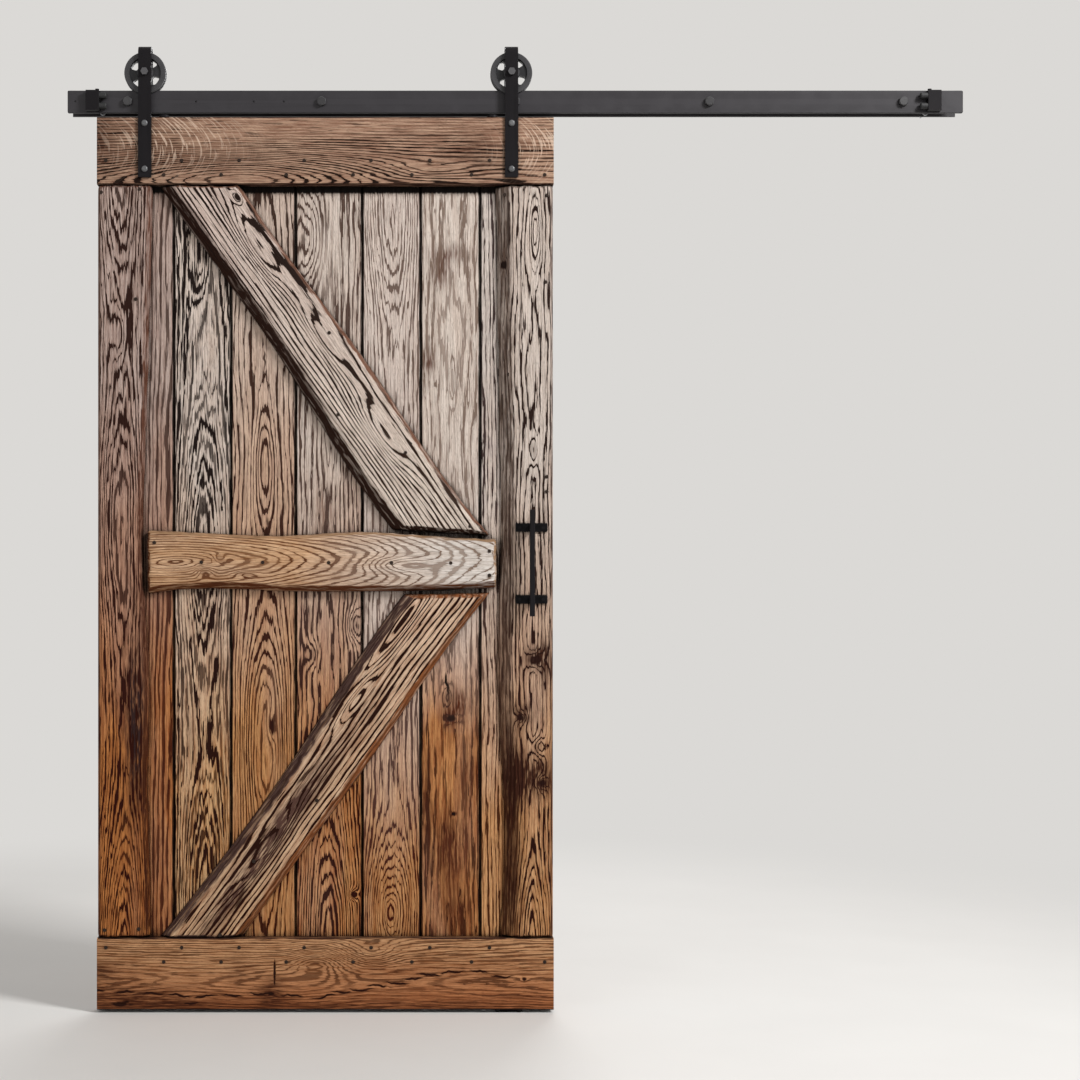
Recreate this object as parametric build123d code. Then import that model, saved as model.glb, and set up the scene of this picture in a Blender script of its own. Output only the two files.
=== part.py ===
from build123d import *
import math
import os

# Sliding plank door with two diagonal braces, hung by strap hangers from a flat steel rail.
# The wall plane is Y = 0 and everything hangs in front of it, towards -Y.
# X runs along the rail from its middle and Z runs up from the rail's centre line.
# All sizes are in millimetres.

# Rail and the strip behind it
rail_length = 2000.0
rail_height = 50.0
rail_thickness = 6.0
rail_corner = 3.0
rail_arris = 0.8
strip_height = 44.0
strip_thickness = 5.0
strip_end_inset = 5.0
spacer_diameter = 22.0
spacer_length = 34.5
spare_hole_diameter = 5.0
spare_hole_insets = (18.0, 287.0, 416.0, 483.0)

# Coach screws through rail, spacer and strip, and the two screws of the strip
lag_count = 5
lag_end_inset = 134.0
lag_diameter = 12.0
lag_thread_diameter = 11.4
lag_head_width = 19.0
lag_head_height = 8.0
lag_head_turn = 25.0
lag_wall_depth = 55.0
lag_point = 12.0
bolt_clearance = 0.25
strip_screw_inset = 73.0
strip_screw_drop = 14.0
strip_screw_diameter = 5.0
strip_screw_thread = 4.6
strip_screw_head = 13.0
strip_screw_head_height = 3.0
strip_screw_length = 35.0

# Stops on the rail
left_stop_inset = 72.5
right_stop_inset = 82.0
stop_width = 30.0
stop_height = 45.0
stop_depth = 14.5
buffer_diameter = 14.0
buffer_length = 16.0
buffer_round = 3.0
buffer_spacing = 23.0
stem_diameter = 6.0
stem_length = 10.0
lock_screw_diameter = 5.0
lock_screw_head = 9.0
lock_screw_head_height = 3.5
lock_screw_inset = 5.0
stop_bolt_diameter = 6.0
stop_bolt_head = 10.0
stop_bolt_head_height = 6.0
stop_bolt_inset = 20.0
stop_bolt_spacing = 24.0
stop_bolt_reach = 10.0

# Strap hangers and their bolts
hanger_gap = 9.5
strap_width = 29.0
strap_thickness = 5.0
strap_corner = 2.0
strap_on_door = 135.0
bend_rise = 42.5
rear_leg_drop = 34.0
left_hanger_inset = 107.0
right_hanger_inset = 94.0
hanger_bolt_inset = 15.0
hanger_bolt_spacing = 102.0
hanger_bolt_diameter = 8.0
dome_diameter = 14.0
dome_height = 4.0
nut_pocket_diameter = 22.0
nut_pocket_depth = 10.0
washer_diameter = 18.0
washer_thickness = 1.6
hanger_nut_width = 13.0
hanger_nut_height = 6.5

# Wheels, bearings and axles
wheel_diameter = 93.0
roll_diameter = 75.0
wheel_width = 19.0
wheel_rail_gap = 0.3
groove_side_gap = 0.75
groove_flare = 1.5
rim_chamfer = 1.2
rim_inner_diameter = 70.0
web_thickness = 12.0
web_slope = 1.5
hub_diameter = 35.0
spoke_hole_inner = 38.0
spoke_hole_outer = 67.0
spoke_hole_span = 40.0
spoke_hole_corner = 4.5
spoke_hole_count = 4
spoke_hole_turn = -36.0
bearing_outer = 26.0
bearing_width = 8.0
bearing_race = 15.0
bearing_play = 0.3
axle_diameter = 10.0
axle_head_width = 15.0
axle_head_height = 6.4
axle_nut_width = 16.0
axle_nut_height = 8.0
axle_tail = 2.5
axle_sleeve_diameter = 16.0

# Door: one layer of upright planks with framing boards nailed on its front
door_width = 1018.0
door_height = 1990.0
door_drop = 11.5
door_rest_inset = 67.0
board_thickness = 24.0
plank_thickness = 20.0
plank_gap = 4.0
plank_arris = 2.0
plank_lap = 10.0
plank_lap_play = 0.3
plank_widths = (169.0, 128.0, 145.0, 149.0, 131.0, 133.0, 163.0)
board_arris = 2.5
top_board_height = 150.0
bottom_board_height = 160.0

# Stiles with a live inner edge, given by their widths at even stations from top to bottom
left_stile_widths = (124.5, 119.5, 114.5, 108.5, 102.5, 106.5, 116.5, 113.0, 116.0, 121.0)
left_stile_bevel = 8.0
right_stile_widths = (132.5, 128.5, 127.5, 124.0, 123.5, 118.0, 122.5, 125.5, 126.5, 120.0, 113.0, 114.0, 122.0)
right_stile_bevel = 33.0
stile_end_gap = 1.5

# Middle rail of the door, narrower at its right end
mid_rail_drop = 919.5
mid_rail_fall = 19.0
mid_rail_left_height = 144.5
mid_rail_right_height = 112.0
mid_rail_left_inset = 111.0
mid_rail_right_inset = 126.5
mid_rail_top_waves = (-4.0, -4.5, 7.5, 3.5)
mid_rail_bottom_waves = (9.5, 0.5, -3.5, -4.5)
mid_rail_top_bevel = 3.0
mid_rail_bottom_bevel = 12.0
mid_rail_end_bevel = 2.0

# Diagonal braces, the two of them forming a K against the left stile
brace_end_gap = 3.0
brace_left_inset = 137.0
brace_right_inset = 139.0
upper_brace_head = 184.0
upper_brace_foot = 221.0
upper_brace_foot_gap = 11.0
upper_brace_left_waves = (5.0, 8.0, -3.0)
upper_brace_right_waves = (-4.0, 1.0, -6.5)
upper_brace_left_bevel = 28.0
upper_brace_right_bevel = 7.0
lower_brace_head = 197.0
lower_brace_foot = 189.0
lower_brace_head_gap = 8.0
lower_brace_left_waves = (3.0, 13.5, 12.0)
lower_brace_right_waves = (-4.5, 1.5, 0.0)
lower_brace_left_bevel = 25.0
lower_brace_right_bevel = 18.0
brace_end_bevel = 8.0
shoulder_depth = 0.45
shoulder_inset = 0.3

# Nails: forged heads with square shanks, driven through a board into the planks.
# Those of a brace are placed by shares of its length from the head and of its width from the left.
nail_head = 8.0
nail_head_height = 1.5
nail_shank = 3.0
nail_bite = 14.0
nail_edge_inset = 20.0
nail_near_row = 21.0
nail_far_row = 53.0
mid_rail_nail_inset = 17.0
mid_rail_nail_spread = 29.0
nail_clear_pocket = 0.5
left_stile_nails = ((10.0, 18.0), (95.0, 11.0), (86.5, 256.0))
left_stile_low_nails = ((17.0, 18.0), (93.0, 20.0))
right_stile_nails = ((15.0, 25.0), (18.5, 218.0), (15.5, 652.0), (15.5, 685.0))
right_stile_edge_nails = ((108.0, 22.0, 7.0), (100.0, 423.0, 6.0))
upper_brace_nails = ((0.422, 0.805), (0.738, 0.839), (0.765, 0.717), (0.661, 0.271), (0.973, 0.852))
lower_brace_nails = ((0.9935, 0.708), (0.779, 0.484), (0.603, 0.712))

# Pull handle on the right stile
handle_inset = 50.0
handle_drop = 995.0
handle_bar_width = 11.0
handle_bar_length = 236.0
handle_bar_arris = 1.0
handle_plate_width = 71.0
handle_plate_height = 19.0
handle_plate_thickness = 4.0
handle_plate_corner = 2.0
handle_plate_spacing = 160.0
handle_finger_gap = 25.0
handle_screw_inset = 9.0
handle_screw_diameter = 4.0
handle_screw_head = 8.0
handle_screw_length = 25.0

# Discs on the door's top edge that keep the wheels from jumping off
disc_diameter = 24.0
disc_thickness = 6.0
disc_offset = 42.0
disc_screw_diameter = 4.5
disc_screw_head = 9.0
disc_screw_length = 30.0

# Blade on the floor that keeps the foot of the door in line
floor_gap = 6.0
guide_inset = 100.0
guide_blade_length = 40.0
guide_blade_thickness = 5.0
guide_blade_rise = 14.0
guide_base_length = 60.0
guide_base_width = 36.0
guide_base_thickness = 3.0
guide_edge_margin = 3.0
groove_play = 0.5
groove_extra_depth = 2.0
guide_screw_spacing = 40.0
guide_screw_offset = 20.0
guide_screw_diameter = 4.0
guide_screw_thread = 3.6
guide_screw_head = 6.5
guide_screw_length = 25.0

# Depths, worked out from the wall towards the front
strip_front = -strip_thickness
rail_back = strip_front - spacer_length
rail_front = rail_back - rail_thickness
rail_middle = (rail_back + rail_front) / 2
board_front = rail_front - hanger_gap
plank_front = board_front + board_thickness
plank_back = plank_front + plank_thickness
strap_front = board_front - strap_thickness
fork_width = 2 * (rail_middle - board_front)
rear_leg_front = board_front + fork_width
rear_leg_back = rear_leg_front + strap_thickness

# Heights and places along the rail
door_left = -rail_length / 2 + door_rest_inset
door_right = door_left + door_width
door_top = -rail_height / 2 - door_drop
door_bottom = door_top - door_height
floor = door_bottom - floor_gap
frame_top = door_top - top_board_height
frame_bottom = door_bottom + bottom_board_height
axle_height = rail_height / 2 + wheel_rail_gap + roll_diameter / 2
hanger_places = {"left": door_left + left_hanger_inset, "right": door_right - right_hanger_inset}
hanger_bolt_heights = [door_top - hanger_bolt_inset - i * hanger_bolt_spacing for i in range(2)]
lag_spacing = (rail_length - 2 * lag_end_inset) / (lag_count - 1)
lag_places = [(i - (lag_count - 1) / 2) * lag_spacing for i in range(lag_count)]
plank_fit = door_width / sum(plank_widths)
plank_lines = [door_left + plank_fit * sum(plank_widths[:i]) for i in range(len(plank_widths) + 1)]
groove_middle = (board_front + plank_front) / 2


def front_plane(y):
    """Plane at a depth, facing the front, with X to the right and Z up."""
    return Plane(origin=(0, y, 0), x_dir=(1, 0, 0), z_dir=(0, -1, 0))


def rod(x, z, front, back, diameter):
    """Round bar along Y between two depths."""
    return Pos(x, (front + back) / 2, z) * Rot(90, 0, 0) * Cylinder(diameter / 2, back - front)


def taper(x, z, front, back, front_diameter, back_diameter):
    """Cone along Y between two depths."""
    solid = Cone(back_diameter / 2, front_diameter / 2, back - front)
    return Pos(x, (front + back) / 2, z) * Rot(90, 0, 0) * solid


def hexagon(x, z, front, back, width, turn=0.0):
    """Hexagonal head or nut along Y, by its width across flats."""
    outline = RegularPolygon(width / 2, 6, major_radius=False, rotation=turn)
    return front_plane(back) * Pos(x, z, 0) * extrude(outline, back - front)


def block(x0, x1, y0, y1, z0, z1):
    """Box between two corners."""
    return Pos((x0 + x1) / 2, (y0 + y1) / 2, (z0 + z1) / 2) * Box(x1 - x0, y1 - y0, z1 - z0)


def upright_rod(x, y, bottom, top, diameter):
    """Round bar along Z between two heights."""
    return Pos(x, y, (bottom + top) / 2) * Cylinder(diameter / 2, top - bottom)


def upright_taper(x, y, bottom, top, bottom_diameter, top_diameter):
    """Cone along Z between two heights."""
    return Pos(x, y, (bottom + top) / 2) * Cone(bottom_diameter / 2, top_diameter / 2, top - bottom)


def joined(solids):
    """Several separate solids as one group."""
    return Compound(children=solids)


# Rail and its fixings


def stop_face(side):
    """Where the stop block's inner face stands, on the left or right end of the rail."""
    if side == "left":
        return -rail_length / 2 + left_stop_inset
    return rail_length / 2 - right_stop_inset


def stop_outward(side):
    return -1 if side == "left" else 1


def stop_bolt_places(side):
    x = stop_face(side) + stop_outward(side) * stop_bolt_inset
    return [(x, i * stop_bolt_spacing / 2) for i in (-1, 1)]


def make_rail():
    bar = block(-rail_length / 2, rail_length / 2, rail_front, rail_back, -rail_height / 2, rail_height / 2)
    bar = fillet(bar.edges().filter_by(Axis.Y), rail_corner)
    bar = chamfer(bar.edges().filter_by(Axis.X), rail_arris)
    holes = [rod(x, 0, rail_front, rail_back, lag_diameter + 2 * bolt_clearance) for x in lag_places]
    for inset in spare_hole_insets:
        holes.append(rod(inset - rail_length / 2, 0, rail_front, rail_back, spare_hole_diameter))
    for side in hanger_places:
        for x, z in stop_bolt_places(side):
            holes.append(rod(x, z, rail_front, rail_back, stop_bolt_diameter + 2 * bolt_clearance))
    return bar - holes


def strip_screw_places():
    x = rail_length / 2 - strip_screw_inset
    return [(-x, -strip_screw_drop), (x, -strip_screw_drop)]


def make_wall_strip():
    half = rail_length / 2 - strip_end_inset
    strip = block(-half, half, strip_front, 0, -strip_height / 2, strip_height / 2)
    holes = [rod(x, 0, strip_front, 0, lag_diameter + 2 * bolt_clearance) for x in lag_places]
    for x, z in strip_screw_places():
        holes.append(rod(x, z, strip_front, 0, strip_screw_diameter + 2 * bolt_clearance))
    return strip - holes


def make_strip_screw(x, z):
    """Pan-headed screw that holds the strip to the wall."""
    head = rod(x, z, strip_front - strip_screw_head_height, strip_front, strip_screw_head)
    head = fillet(head.faces().sort_by(Axis.Y)[0].edges(), strip_screw_head_height / 2)
    thread = rod(x, z, 0, strip_front + strip_screw_length, strip_screw_thread)
    return head + rod(x, z, strip_front, 0, strip_screw_diameter) + thread


def make_spacer(x):
    tube = rod(x, 0, rail_back, strip_front, spacer_diameter)
    return tube - rod(x, 0, rail_back, strip_front, lag_diameter + 2 * bolt_clearance)


def make_lag(x):
    """Coach screw with a hexagonal head, a plain shank and a point."""
    head_front = rail_front - lag_head_height
    head = hexagon(x, 0, head_front, rail_front, lag_head_width, lag_head_turn)
    dressing = rod(x, 0, head_front, rail_front, lag_head_width * 1.3)
    dressing = chamfer(dressing.faces().sort_by(Axis.Y)[0].edges(), lag_head_width * 0.2)
    thread_end = lag_wall_depth - lag_point
    shank = rod(x, 0, rail_front, 0, lag_diameter) + rod(x, 0, 0, thread_end, lag_thread_diameter)
    point = taper(x, 0, thread_end, lag_wall_depth, lag_thread_diameter, 1.0)
    return (head & dressing) + shank + point


def make_stop_block(side):
    """Steel block bolted on the rail's front, bored for two rubber buffers."""
    face, out = stop_face(side), stop_outward(side)
    ends = sorted((face, face + out * stop_width))
    top = stop_height / 2
    body = block(*ends, rail_front - stop_depth, rail_front, -top, top)
    body = chamfer(body.edges().filter_by(Axis.Z).group_by(Axis.Y)[0], rail_arris)
    for x, z in stop_bolt_places(side):
        body -= rod(x, z, rail_front - stop_bolt_reach, rail_front, stop_bolt_diameter)
    for z in (-buffer_spacing / 2, buffer_spacing / 2):
        body -= stem(side, z)
    return body - lock_screw_shank(side)


def stem(side, z):
    """Stem of a buffer, along X inside the block."""
    x = stop_face(side) + stop_outward(side) * stem_length / 2
    place = Pos(x, rail_front - stop_depth / 2, z)
    return place * Rot(0, 90, 0) * Cylinder(stem_diameter / 2, stem_length)


def make_buffer(side, z):
    """Rubber buffer with a rounded nose and a stem in the block."""
    nose = Cylinder(buffer_diameter / 2, buffer_length)
    nose = fillet(nose.faces().sort_by(Axis.Z)[-1].edges(), buffer_round)
    out = stop_outward(side)
    place = Pos(stop_face(side) - out * buffer_length / 2, rail_front - stop_depth / 2, z)
    return place * Rot(0, -90 * out, 0) * nose + stem(side, z)


def lock_screw_place(side):
    return stop_face(side) + stop_outward(side) * lock_screw_inset, rail_front - stop_depth / 2


def lock_screw_shank(side):
    x, y = lock_screw_place(side)
    tip = buffer_spacing / 2 + stem_diameter / 2
    return upright_rod(x, y, tip, stop_height / 2, lock_screw_diameter)


def make_lock_screw(side):
    """Screw from above that grips the upper buffer's stem."""
    x, y = lock_screw_place(side)
    top = stop_height / 2
    return lock_screw_shank(side) + upright_rod(x, y, top, top + lock_screw_head_height, lock_screw_head)


def make_stop_bolt(x, z):
    """Cap screw from behind the rail into the stop block."""
    shank = rod(x, z, rail_front - stop_bolt_reach, rail_back, stop_bolt_diameter)
    return shank + rod(x, z, rail_back, rail_back + stop_bolt_head_height, stop_bolt_head)


# Hangers and wheels


def make_hanger(x):
    """Flat strap on the door's front, folded over the wheel and down behind it."""
    foot = door_top - strap_on_door
    bend = axle_height + bend_rise
    rear_end = axle_height - rear_leg_drop
    outer, inner = fork_width / 2 + strap_thickness, fork_width / 2
    edges = [
        Edge.make_line((0, strap_front, foot), (0, strap_front, bend)),
        ThreePointArc((0, strap_front, bend), (0, rail_middle, bend + outer), (0, rear_leg_back, bend)),
        Edge.make_line((0, rear_leg_back, bend), (0, rear_leg_back, rear_end)),
        Edge.make_line((0, rear_leg_back, rear_end), (0, rear_leg_front, rear_end)),
        Edge.make_line((0, rear_leg_front, rear_end), (0, rear_leg_front, bend)),
        ThreePointArc((0, rear_leg_front, bend), (0, rail_middle, bend + inner), (0, board_front, bend)),
        Edge.make_line((0, board_front, bend), (0, board_front, foot)),
        Edge.make_line((0, board_front, foot), (0, strap_front, foot)),
    ]
    profile = Face(Wire(edges))
    strap = Pos(x - strap_width / 2, 0, 0) * extrude(profile, strap_width, dir=(1, 0, 0))
    strap = fillet(strap.edges().filter_by(Axis.Y).group_by(Axis.Z)[0], strap_corner)
    strap -= rod(x, axle_height, strap_front, rear_leg_back, axle_diameter + 2 * bolt_clearance)
    for z in hanger_bolt_heights:
        strap -= rod(x, z, strap_front, board_front, hanger_bolt_diameter + 2 * bolt_clearance)
    return strap


def make_hanger_bolt(x, z):
    """Bolt with a domed head, through strap and door into a nut in a pocket."""
    head = rod(x, z, strap_front - dome_height, strap_front, dome_diameter)
    head = fillet(head.faces().sort_by(Axis.Y)[0].edges(), dome_height * 0.9)
    return head + rod(x, z, strap_front, plank_back - 1.0, hanger_bolt_diameter)


def pocket_floor():
    return plank_back - nut_pocket_depth


def make_hanger_washer(x, z):
    back = pocket_floor() + washer_thickness
    washer = rod(x, z, pocket_floor(), back, washer_diameter)
    return washer - rod(x, z, pocket_floor(), back, hanger_bolt_diameter)


def make_hanger_nut(x, z):
    front = pocket_floor() + washer_thickness
    nut = hexagon(x, z, front, front + hanger_nut_height, hanger_nut_width)
    return nut - rod(x, z, front, front + hanger_nut_height, hanger_bolt_diameter)


def hanger_bolt_places():
    return [(x, z) for x in hanger_places.values() for z in hanger_bolt_heights]


def bolt_holes(with_pockets):
    """What the hanger bolts take out of the door."""
    holes = []
    for x, z in hanger_bolt_places():
        holes.append(rod(x, z, board_front, plank_back, hanger_bolt_diameter + 2 * bolt_clearance))
        if with_pockets:
            holes.append(rod(x, z, pocket_floor(), plank_back, nut_pocket_diameter))
    return holes


def wheel_profile():
    """Half section of the wheel, as radius and distance along the axle."""
    rim, half = wheel_diameter / 2, wheel_width / 2
    groove_bottom = rail_thickness / 2 + groove_side_gap
    groove_top = groove_bottom + groove_flare
    front = [
        (bearing_outer / 2, half),
        (hub_diameter / 2, half),
        (hub_diameter / 2 + web_slope, web_thickness / 2),
        (rim_inner_diameter / 2 - web_slope, web_thickness / 2),
        (rim_inner_diameter / 2, half),
        (rim - rim_chamfer, half),
        (rim, half - rim_chamfer),
        (rim, groove_top),
        (roll_diameter / 2, groove_bottom),
    ]
    return front + [(r, -y) for r, y in reversed(front)]


def spoke_hole():
    """Rounded opening between two spokes, flat in the XY plane."""
    half = math.radians(spoke_hole_span / 2)
    reach = spoke_hole_outer
    wedge = Polygon(
        (0, 0),
        (reach * math.cos(half), -reach * math.sin(half)),
        (reach * math.cos(half), reach * math.sin(half)),
        align=None,
    )
    ring = Circle(spoke_hole_outer / 2) - Circle(spoke_hole_inner / 2)
    hole = ring & wedge
    return fillet(hole.vertices(), spoke_hole_corner)


def make_wheel(x):
    """Grooved wheel with four openings in its web and a bore for the bearing."""
    profile = Polygon(*wheel_profile(), align=None)
    wheel = revolve(Plane.XZ * profile, Axis.Z)
    hole = extrude(spoke_hole(), web_thickness, both=True)
    for i in range(spoke_hole_count):
        wheel -= Rot(0, 0, spoke_hole_turn + i * 360 / spoke_hole_count) * hole
    return Pos(x, rail_middle, axle_height) * Rot(90, 0, 0) * wheel


def ring(x, front, back, outside, inside):
    """Plain ring on the axle line."""
    return rod(x, axle_height, front, back, outside) - rod(x, axle_height, front, back, inside)


def make_bearing_outer(x):
    """Outer ring of a sealed bearing with its shields."""
    front, back = rail_middle - bearing_width / 2, rail_middle + bearing_width / 2
    return ring(x, front, back, bearing_outer, bearing_race + 2 * bearing_play)


def make_bearing_inner(x):
    front, back = rail_middle - bearing_width / 2, rail_middle + bearing_width / 2
    return ring(x, front, back, bearing_race, axle_diameter)


def make_axle_sleeves(x):
    """Two short tubes that hold the bearing's inner ring midway in the fork."""
    front, back = rail_middle - bearing_width / 2, rail_middle + bearing_width / 2
    return [
        ring(x, board_front, front, axle_sleeve_diameter, axle_diameter),
        ring(x, back, rear_leg_front, axle_sleeve_diameter, axle_diameter),
    ]


def make_axle_bolt(x):
    head_front = strap_front - axle_head_height
    head = hexagon(x, axle_height, head_front, strap_front, axle_head_width)
    tail = rear_leg_back + axle_nut_height + axle_tail
    return head + rod(x, axle_height, strap_front, tail, axle_diameter)


def make_axle_nut(x):
    back = rear_leg_back + axle_nut_height
    nut = hexagon(x, axle_height, rear_leg_back, back, axle_nut_width)
    return nut - rod(x, axle_height, rear_leg_back, back, axle_diameter)


# Door boards


def strayed(start, end, waves):
    """Points from start to end at even stations, each moved to the left of the line by its wave."""
    run, rise = end[0] - start[0], end[1] - start[1]
    length = math.hypot(run, rise)
    points = [start]
    for i, wave in enumerate(waves):
        share = (i + 1) / (len(waves) + 1)
        x = start[0] + share * run - wave * rise / length
        z = start[1] + share * rise + wave * run / length
        points.append((x, z))
    return points + [end]


def live_edge(points, shift, start_shift, end_shift, share, y):
    """One live edge at a depth, moved in by a share of its bevel and of the bevels of the two ends."""
    moved = [(x + shift[0] * share, z + shift[1] * share) for x, z in points]
    for i, end in ((0, start_shift), (-1, end_shift)):
        moved[i] = (moved[i][0] + end[0] * share, moved[i][1] + end[1] * share)
    return [Vector(x, y, z) for x, z in moved]


def live_board(side_a, side_b, shifts):
    """Board between two live edges, whose front is smaller than its back, with a rounded shoulder.

    Both sides run the same way. The shifts say how far the front lies inside the back at side a,
    side b, the start and the end.
    """
    shift_a, shift_b, start, end = shifts
    wires = []
    for depth, share in ((0.0, 0.0), (shoulder_depth, shoulder_inset), (1.0, 1.0)):
        y = plank_front - board_thickness * depth
        first = live_edge(side_a, shift_a, start, end, share, y)
        second = live_edge(side_b, shift_b, start, end, share, y)
        wires.append(Wire([
            edge_through(first),
            Edge.make_line(first[-1], second[-1]),
            edge_through(second[::-1]),
            Edge.make_line(second[0], first[0]),
        ]))
    return Solid.make_loft(wires, ruled=True)


def edge_through(points):
    """Straight edge through two points, or a spline through more."""
    if len(points) == 2:
        return Edge.make_line(*points)
    return Edge.make_spline(points)


def flat_board(x0, x1, z0, z1, front, back, arris):
    """Straight board with its long front edges broken."""
    board = block(x0, x1, front, back, z0, z1)
    along = Axis.X if x1 - x0 > z1 - z0 else Axis.Z
    return chamfer(board.edges().filter_by(along).group_by(Axis.Y)[0], arris)


def stile_points(edge, widths):
    """Points down a stile's side, by its distances from the door's outer edge."""
    top, bottom = frame_top - stile_end_gap, frame_bottom + stile_end_gap
    step = (bottom - top) / (len(widths) - 1)
    return [(edge + width, top + i * step) for i, width in enumerate(widths)]


def make_left_stile():
    shifts = ((board_arris, 0), (-left_stile_bevel, 0), (0, 0), (0, 0))
    return live_board(stile_points(door_left, (0, 0)), stile_points(door_left, left_stile_widths), shifts)


def make_right_stile():
    widths = [-w for w in right_stile_widths]
    shifts = ((right_stile_bevel, 0), (-board_arris, 0), (0, 0), (0, 0))
    return live_board(stile_points(door_right, widths), stile_points(door_right, (0, 0)), shifts)


def mid_rail_corners():
    left, right = door_left + mid_rail_left_inset, door_right - mid_rail_right_inset
    top = door_top - mid_rail_drop
    return (
        (left, top),
        (right, top - mid_rail_fall),
        (right, top - mid_rail_fall - mid_rail_right_height),
        (left, top - mid_rail_left_height),
    )


def make_mid_rail():
    """Board across the middle, with live upper and lower edges."""
    top_left, top_right, bottom_right, bottom_left = mid_rail_corners()
    shifts = ((0, -mid_rail_top_bevel), (0, mid_rail_bottom_bevel), (mid_rail_end_bevel, 0), (-mid_rail_end_bevel, 0))
    upper = strayed(top_left, top_right, mid_rail_top_waves)
    return live_board(upper, strayed(bottom_left, bottom_right, mid_rail_bottom_waves), shifts)


def mid_rail_edge(x, upper):
    """Straight height of the middle rail's upper or lower edge at a place along it."""
    (x1, z1), (x2, z2), (x3, z3), (x4, z4) = mid_rail_corners()
    share = (x - x1) / (x2 - x1)
    if upper:
        return z1 + share * (z2 - z1)
    return z4 + share * (z3 - z4)


def upper_brace_corners():
    """Corners in the order upper left, upper right, lower right, lower left."""
    left, right = door_left + brace_left_inset, door_right - brace_right_inset
    top = frame_top - stile_end_gap
    foot_left = mid_rail_edge(right - upper_brace_foot, True) + upper_brace_foot_gap
    foot_right = mid_rail_edge(right, True) + brace_end_gap
    return (left, top), (left + upper_brace_head, top), (right, foot_right), (right - upper_brace_foot, foot_left)


def lower_brace_corners():
    """Corners in the same order as those of the upper brace."""
    left, right = door_left + brace_left_inset, door_right - brace_right_inset
    bottom = frame_bottom + stile_end_gap
    head_left = mid_rail_edge(right - lower_brace_head, False) - lower_brace_head_gap
    head_right = mid_rail_edge(right, False) - lower_brace_head_gap
    return (right - lower_brace_head, head_left), (right, head_right), (left + lower_brace_foot, bottom), (left, bottom)


def make_brace(corners, left_waves, right_waves, shifts):
    """Diagonal board, its live edges straying by the waves, positive ones to the right."""
    head_left, head_right, foot_right, foot_left = corners
    left = strayed(head_left, foot_left, left_waves)
    return live_board(left, strayed(head_right, foot_right, right_waves), shifts)


def make_upper_brace():
    shifts = ((upper_brace_left_bevel, 0), (-upper_brace_right_bevel, 0), (0, 0), (0, brace_end_bevel))
    return make_brace(upper_brace_corners(), upper_brace_left_waves, upper_brace_right_waves, shifts)


def make_lower_brace():
    shifts = ((lower_brace_left_bevel, 0), (-lower_brace_right_bevel, 0), (0, -brace_end_bevel), (0, 0))
    return make_brace(lower_brace_corners(), lower_brace_left_waves, lower_brace_right_waves, shifts)


def make_top_board():
    board = flat_board(door_left, door_right, frame_top, door_top, board_front, plank_front, board_arris)
    holes = bolt_holes(False)
    for x in disc_places():
        holes.append(disc_screw(x))
    return board - holes


def guide_groove():
    width = guide_blade_thickness + 2 * groove_play
    top = floor + guide_base_thickness + guide_blade_rise + groove_extra_depth
    return block(
        door_left, door_right, groove_middle - width / 2, groove_middle + width / 2, door_bottom, top
    )


def make_bottom_board():
    board = flat_board(door_left, door_right, door_bottom, frame_bottom, board_front, plank_front, board_arris)
    return board - guide_groove()


def make_plank(left, right, shanks):
    """Upright plank behind the boards, with a gap to its neighbours in front.

    The joints are lapped: the rear half of each plank reaches behind the front half of the next.
    """
    x0 = left if left == door_left else left + plank_gap / 2
    x1 = right if right == door_right else right - plank_gap / 2
    plank = flat_board(x0, x1, door_bottom, door_top, plank_front, plank_back, plank_arris)
    lap_front = plank_front + plank_thickness / 2
    if left != door_left:
        plank -= block(x0, x0 + plank_lap, lap_front, plank_back, door_bottom, door_top)
    if right != door_right:
        reach = x1 + plank_lap
        plank += block(x1, reach, lap_front + plank_lap_play, plank_back, door_bottom, door_top)
        x1 = reach
    cuts = shanks + bolt_holes(True) + handle_screw_shanks()
    return plank - [cut for cut in cuts if x0 - nail_shank < cut.center().X < x1 + nail_shank]


# Nails


def on_brace(corners, down, across):
    """Point on a brace, by shares of its length from the head and of its width from the left edge."""
    head_left, head_right, foot_right, foot_left = corners
    left = [a + down * (b - a) for a, b in zip(head_left, foot_left)]
    right = [a + down * (b - a) for a, b in zip(head_right, foot_right)]
    return [a + across * (b - a) for a, b in zip(left, right)]


def end_board_nails(near_edge, inward, left_row, right_row):
    """Two nails in each plank, one near each edge, on two rows."""
    places = []
    for left, right in zip(plank_lines, plank_lines[1:]):
        places.append((left + nail_edge_inset, near_edge + inward * left_row))
        places.append((right - nail_edge_inset, near_edge + inward * right_row))
    return places


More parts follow.
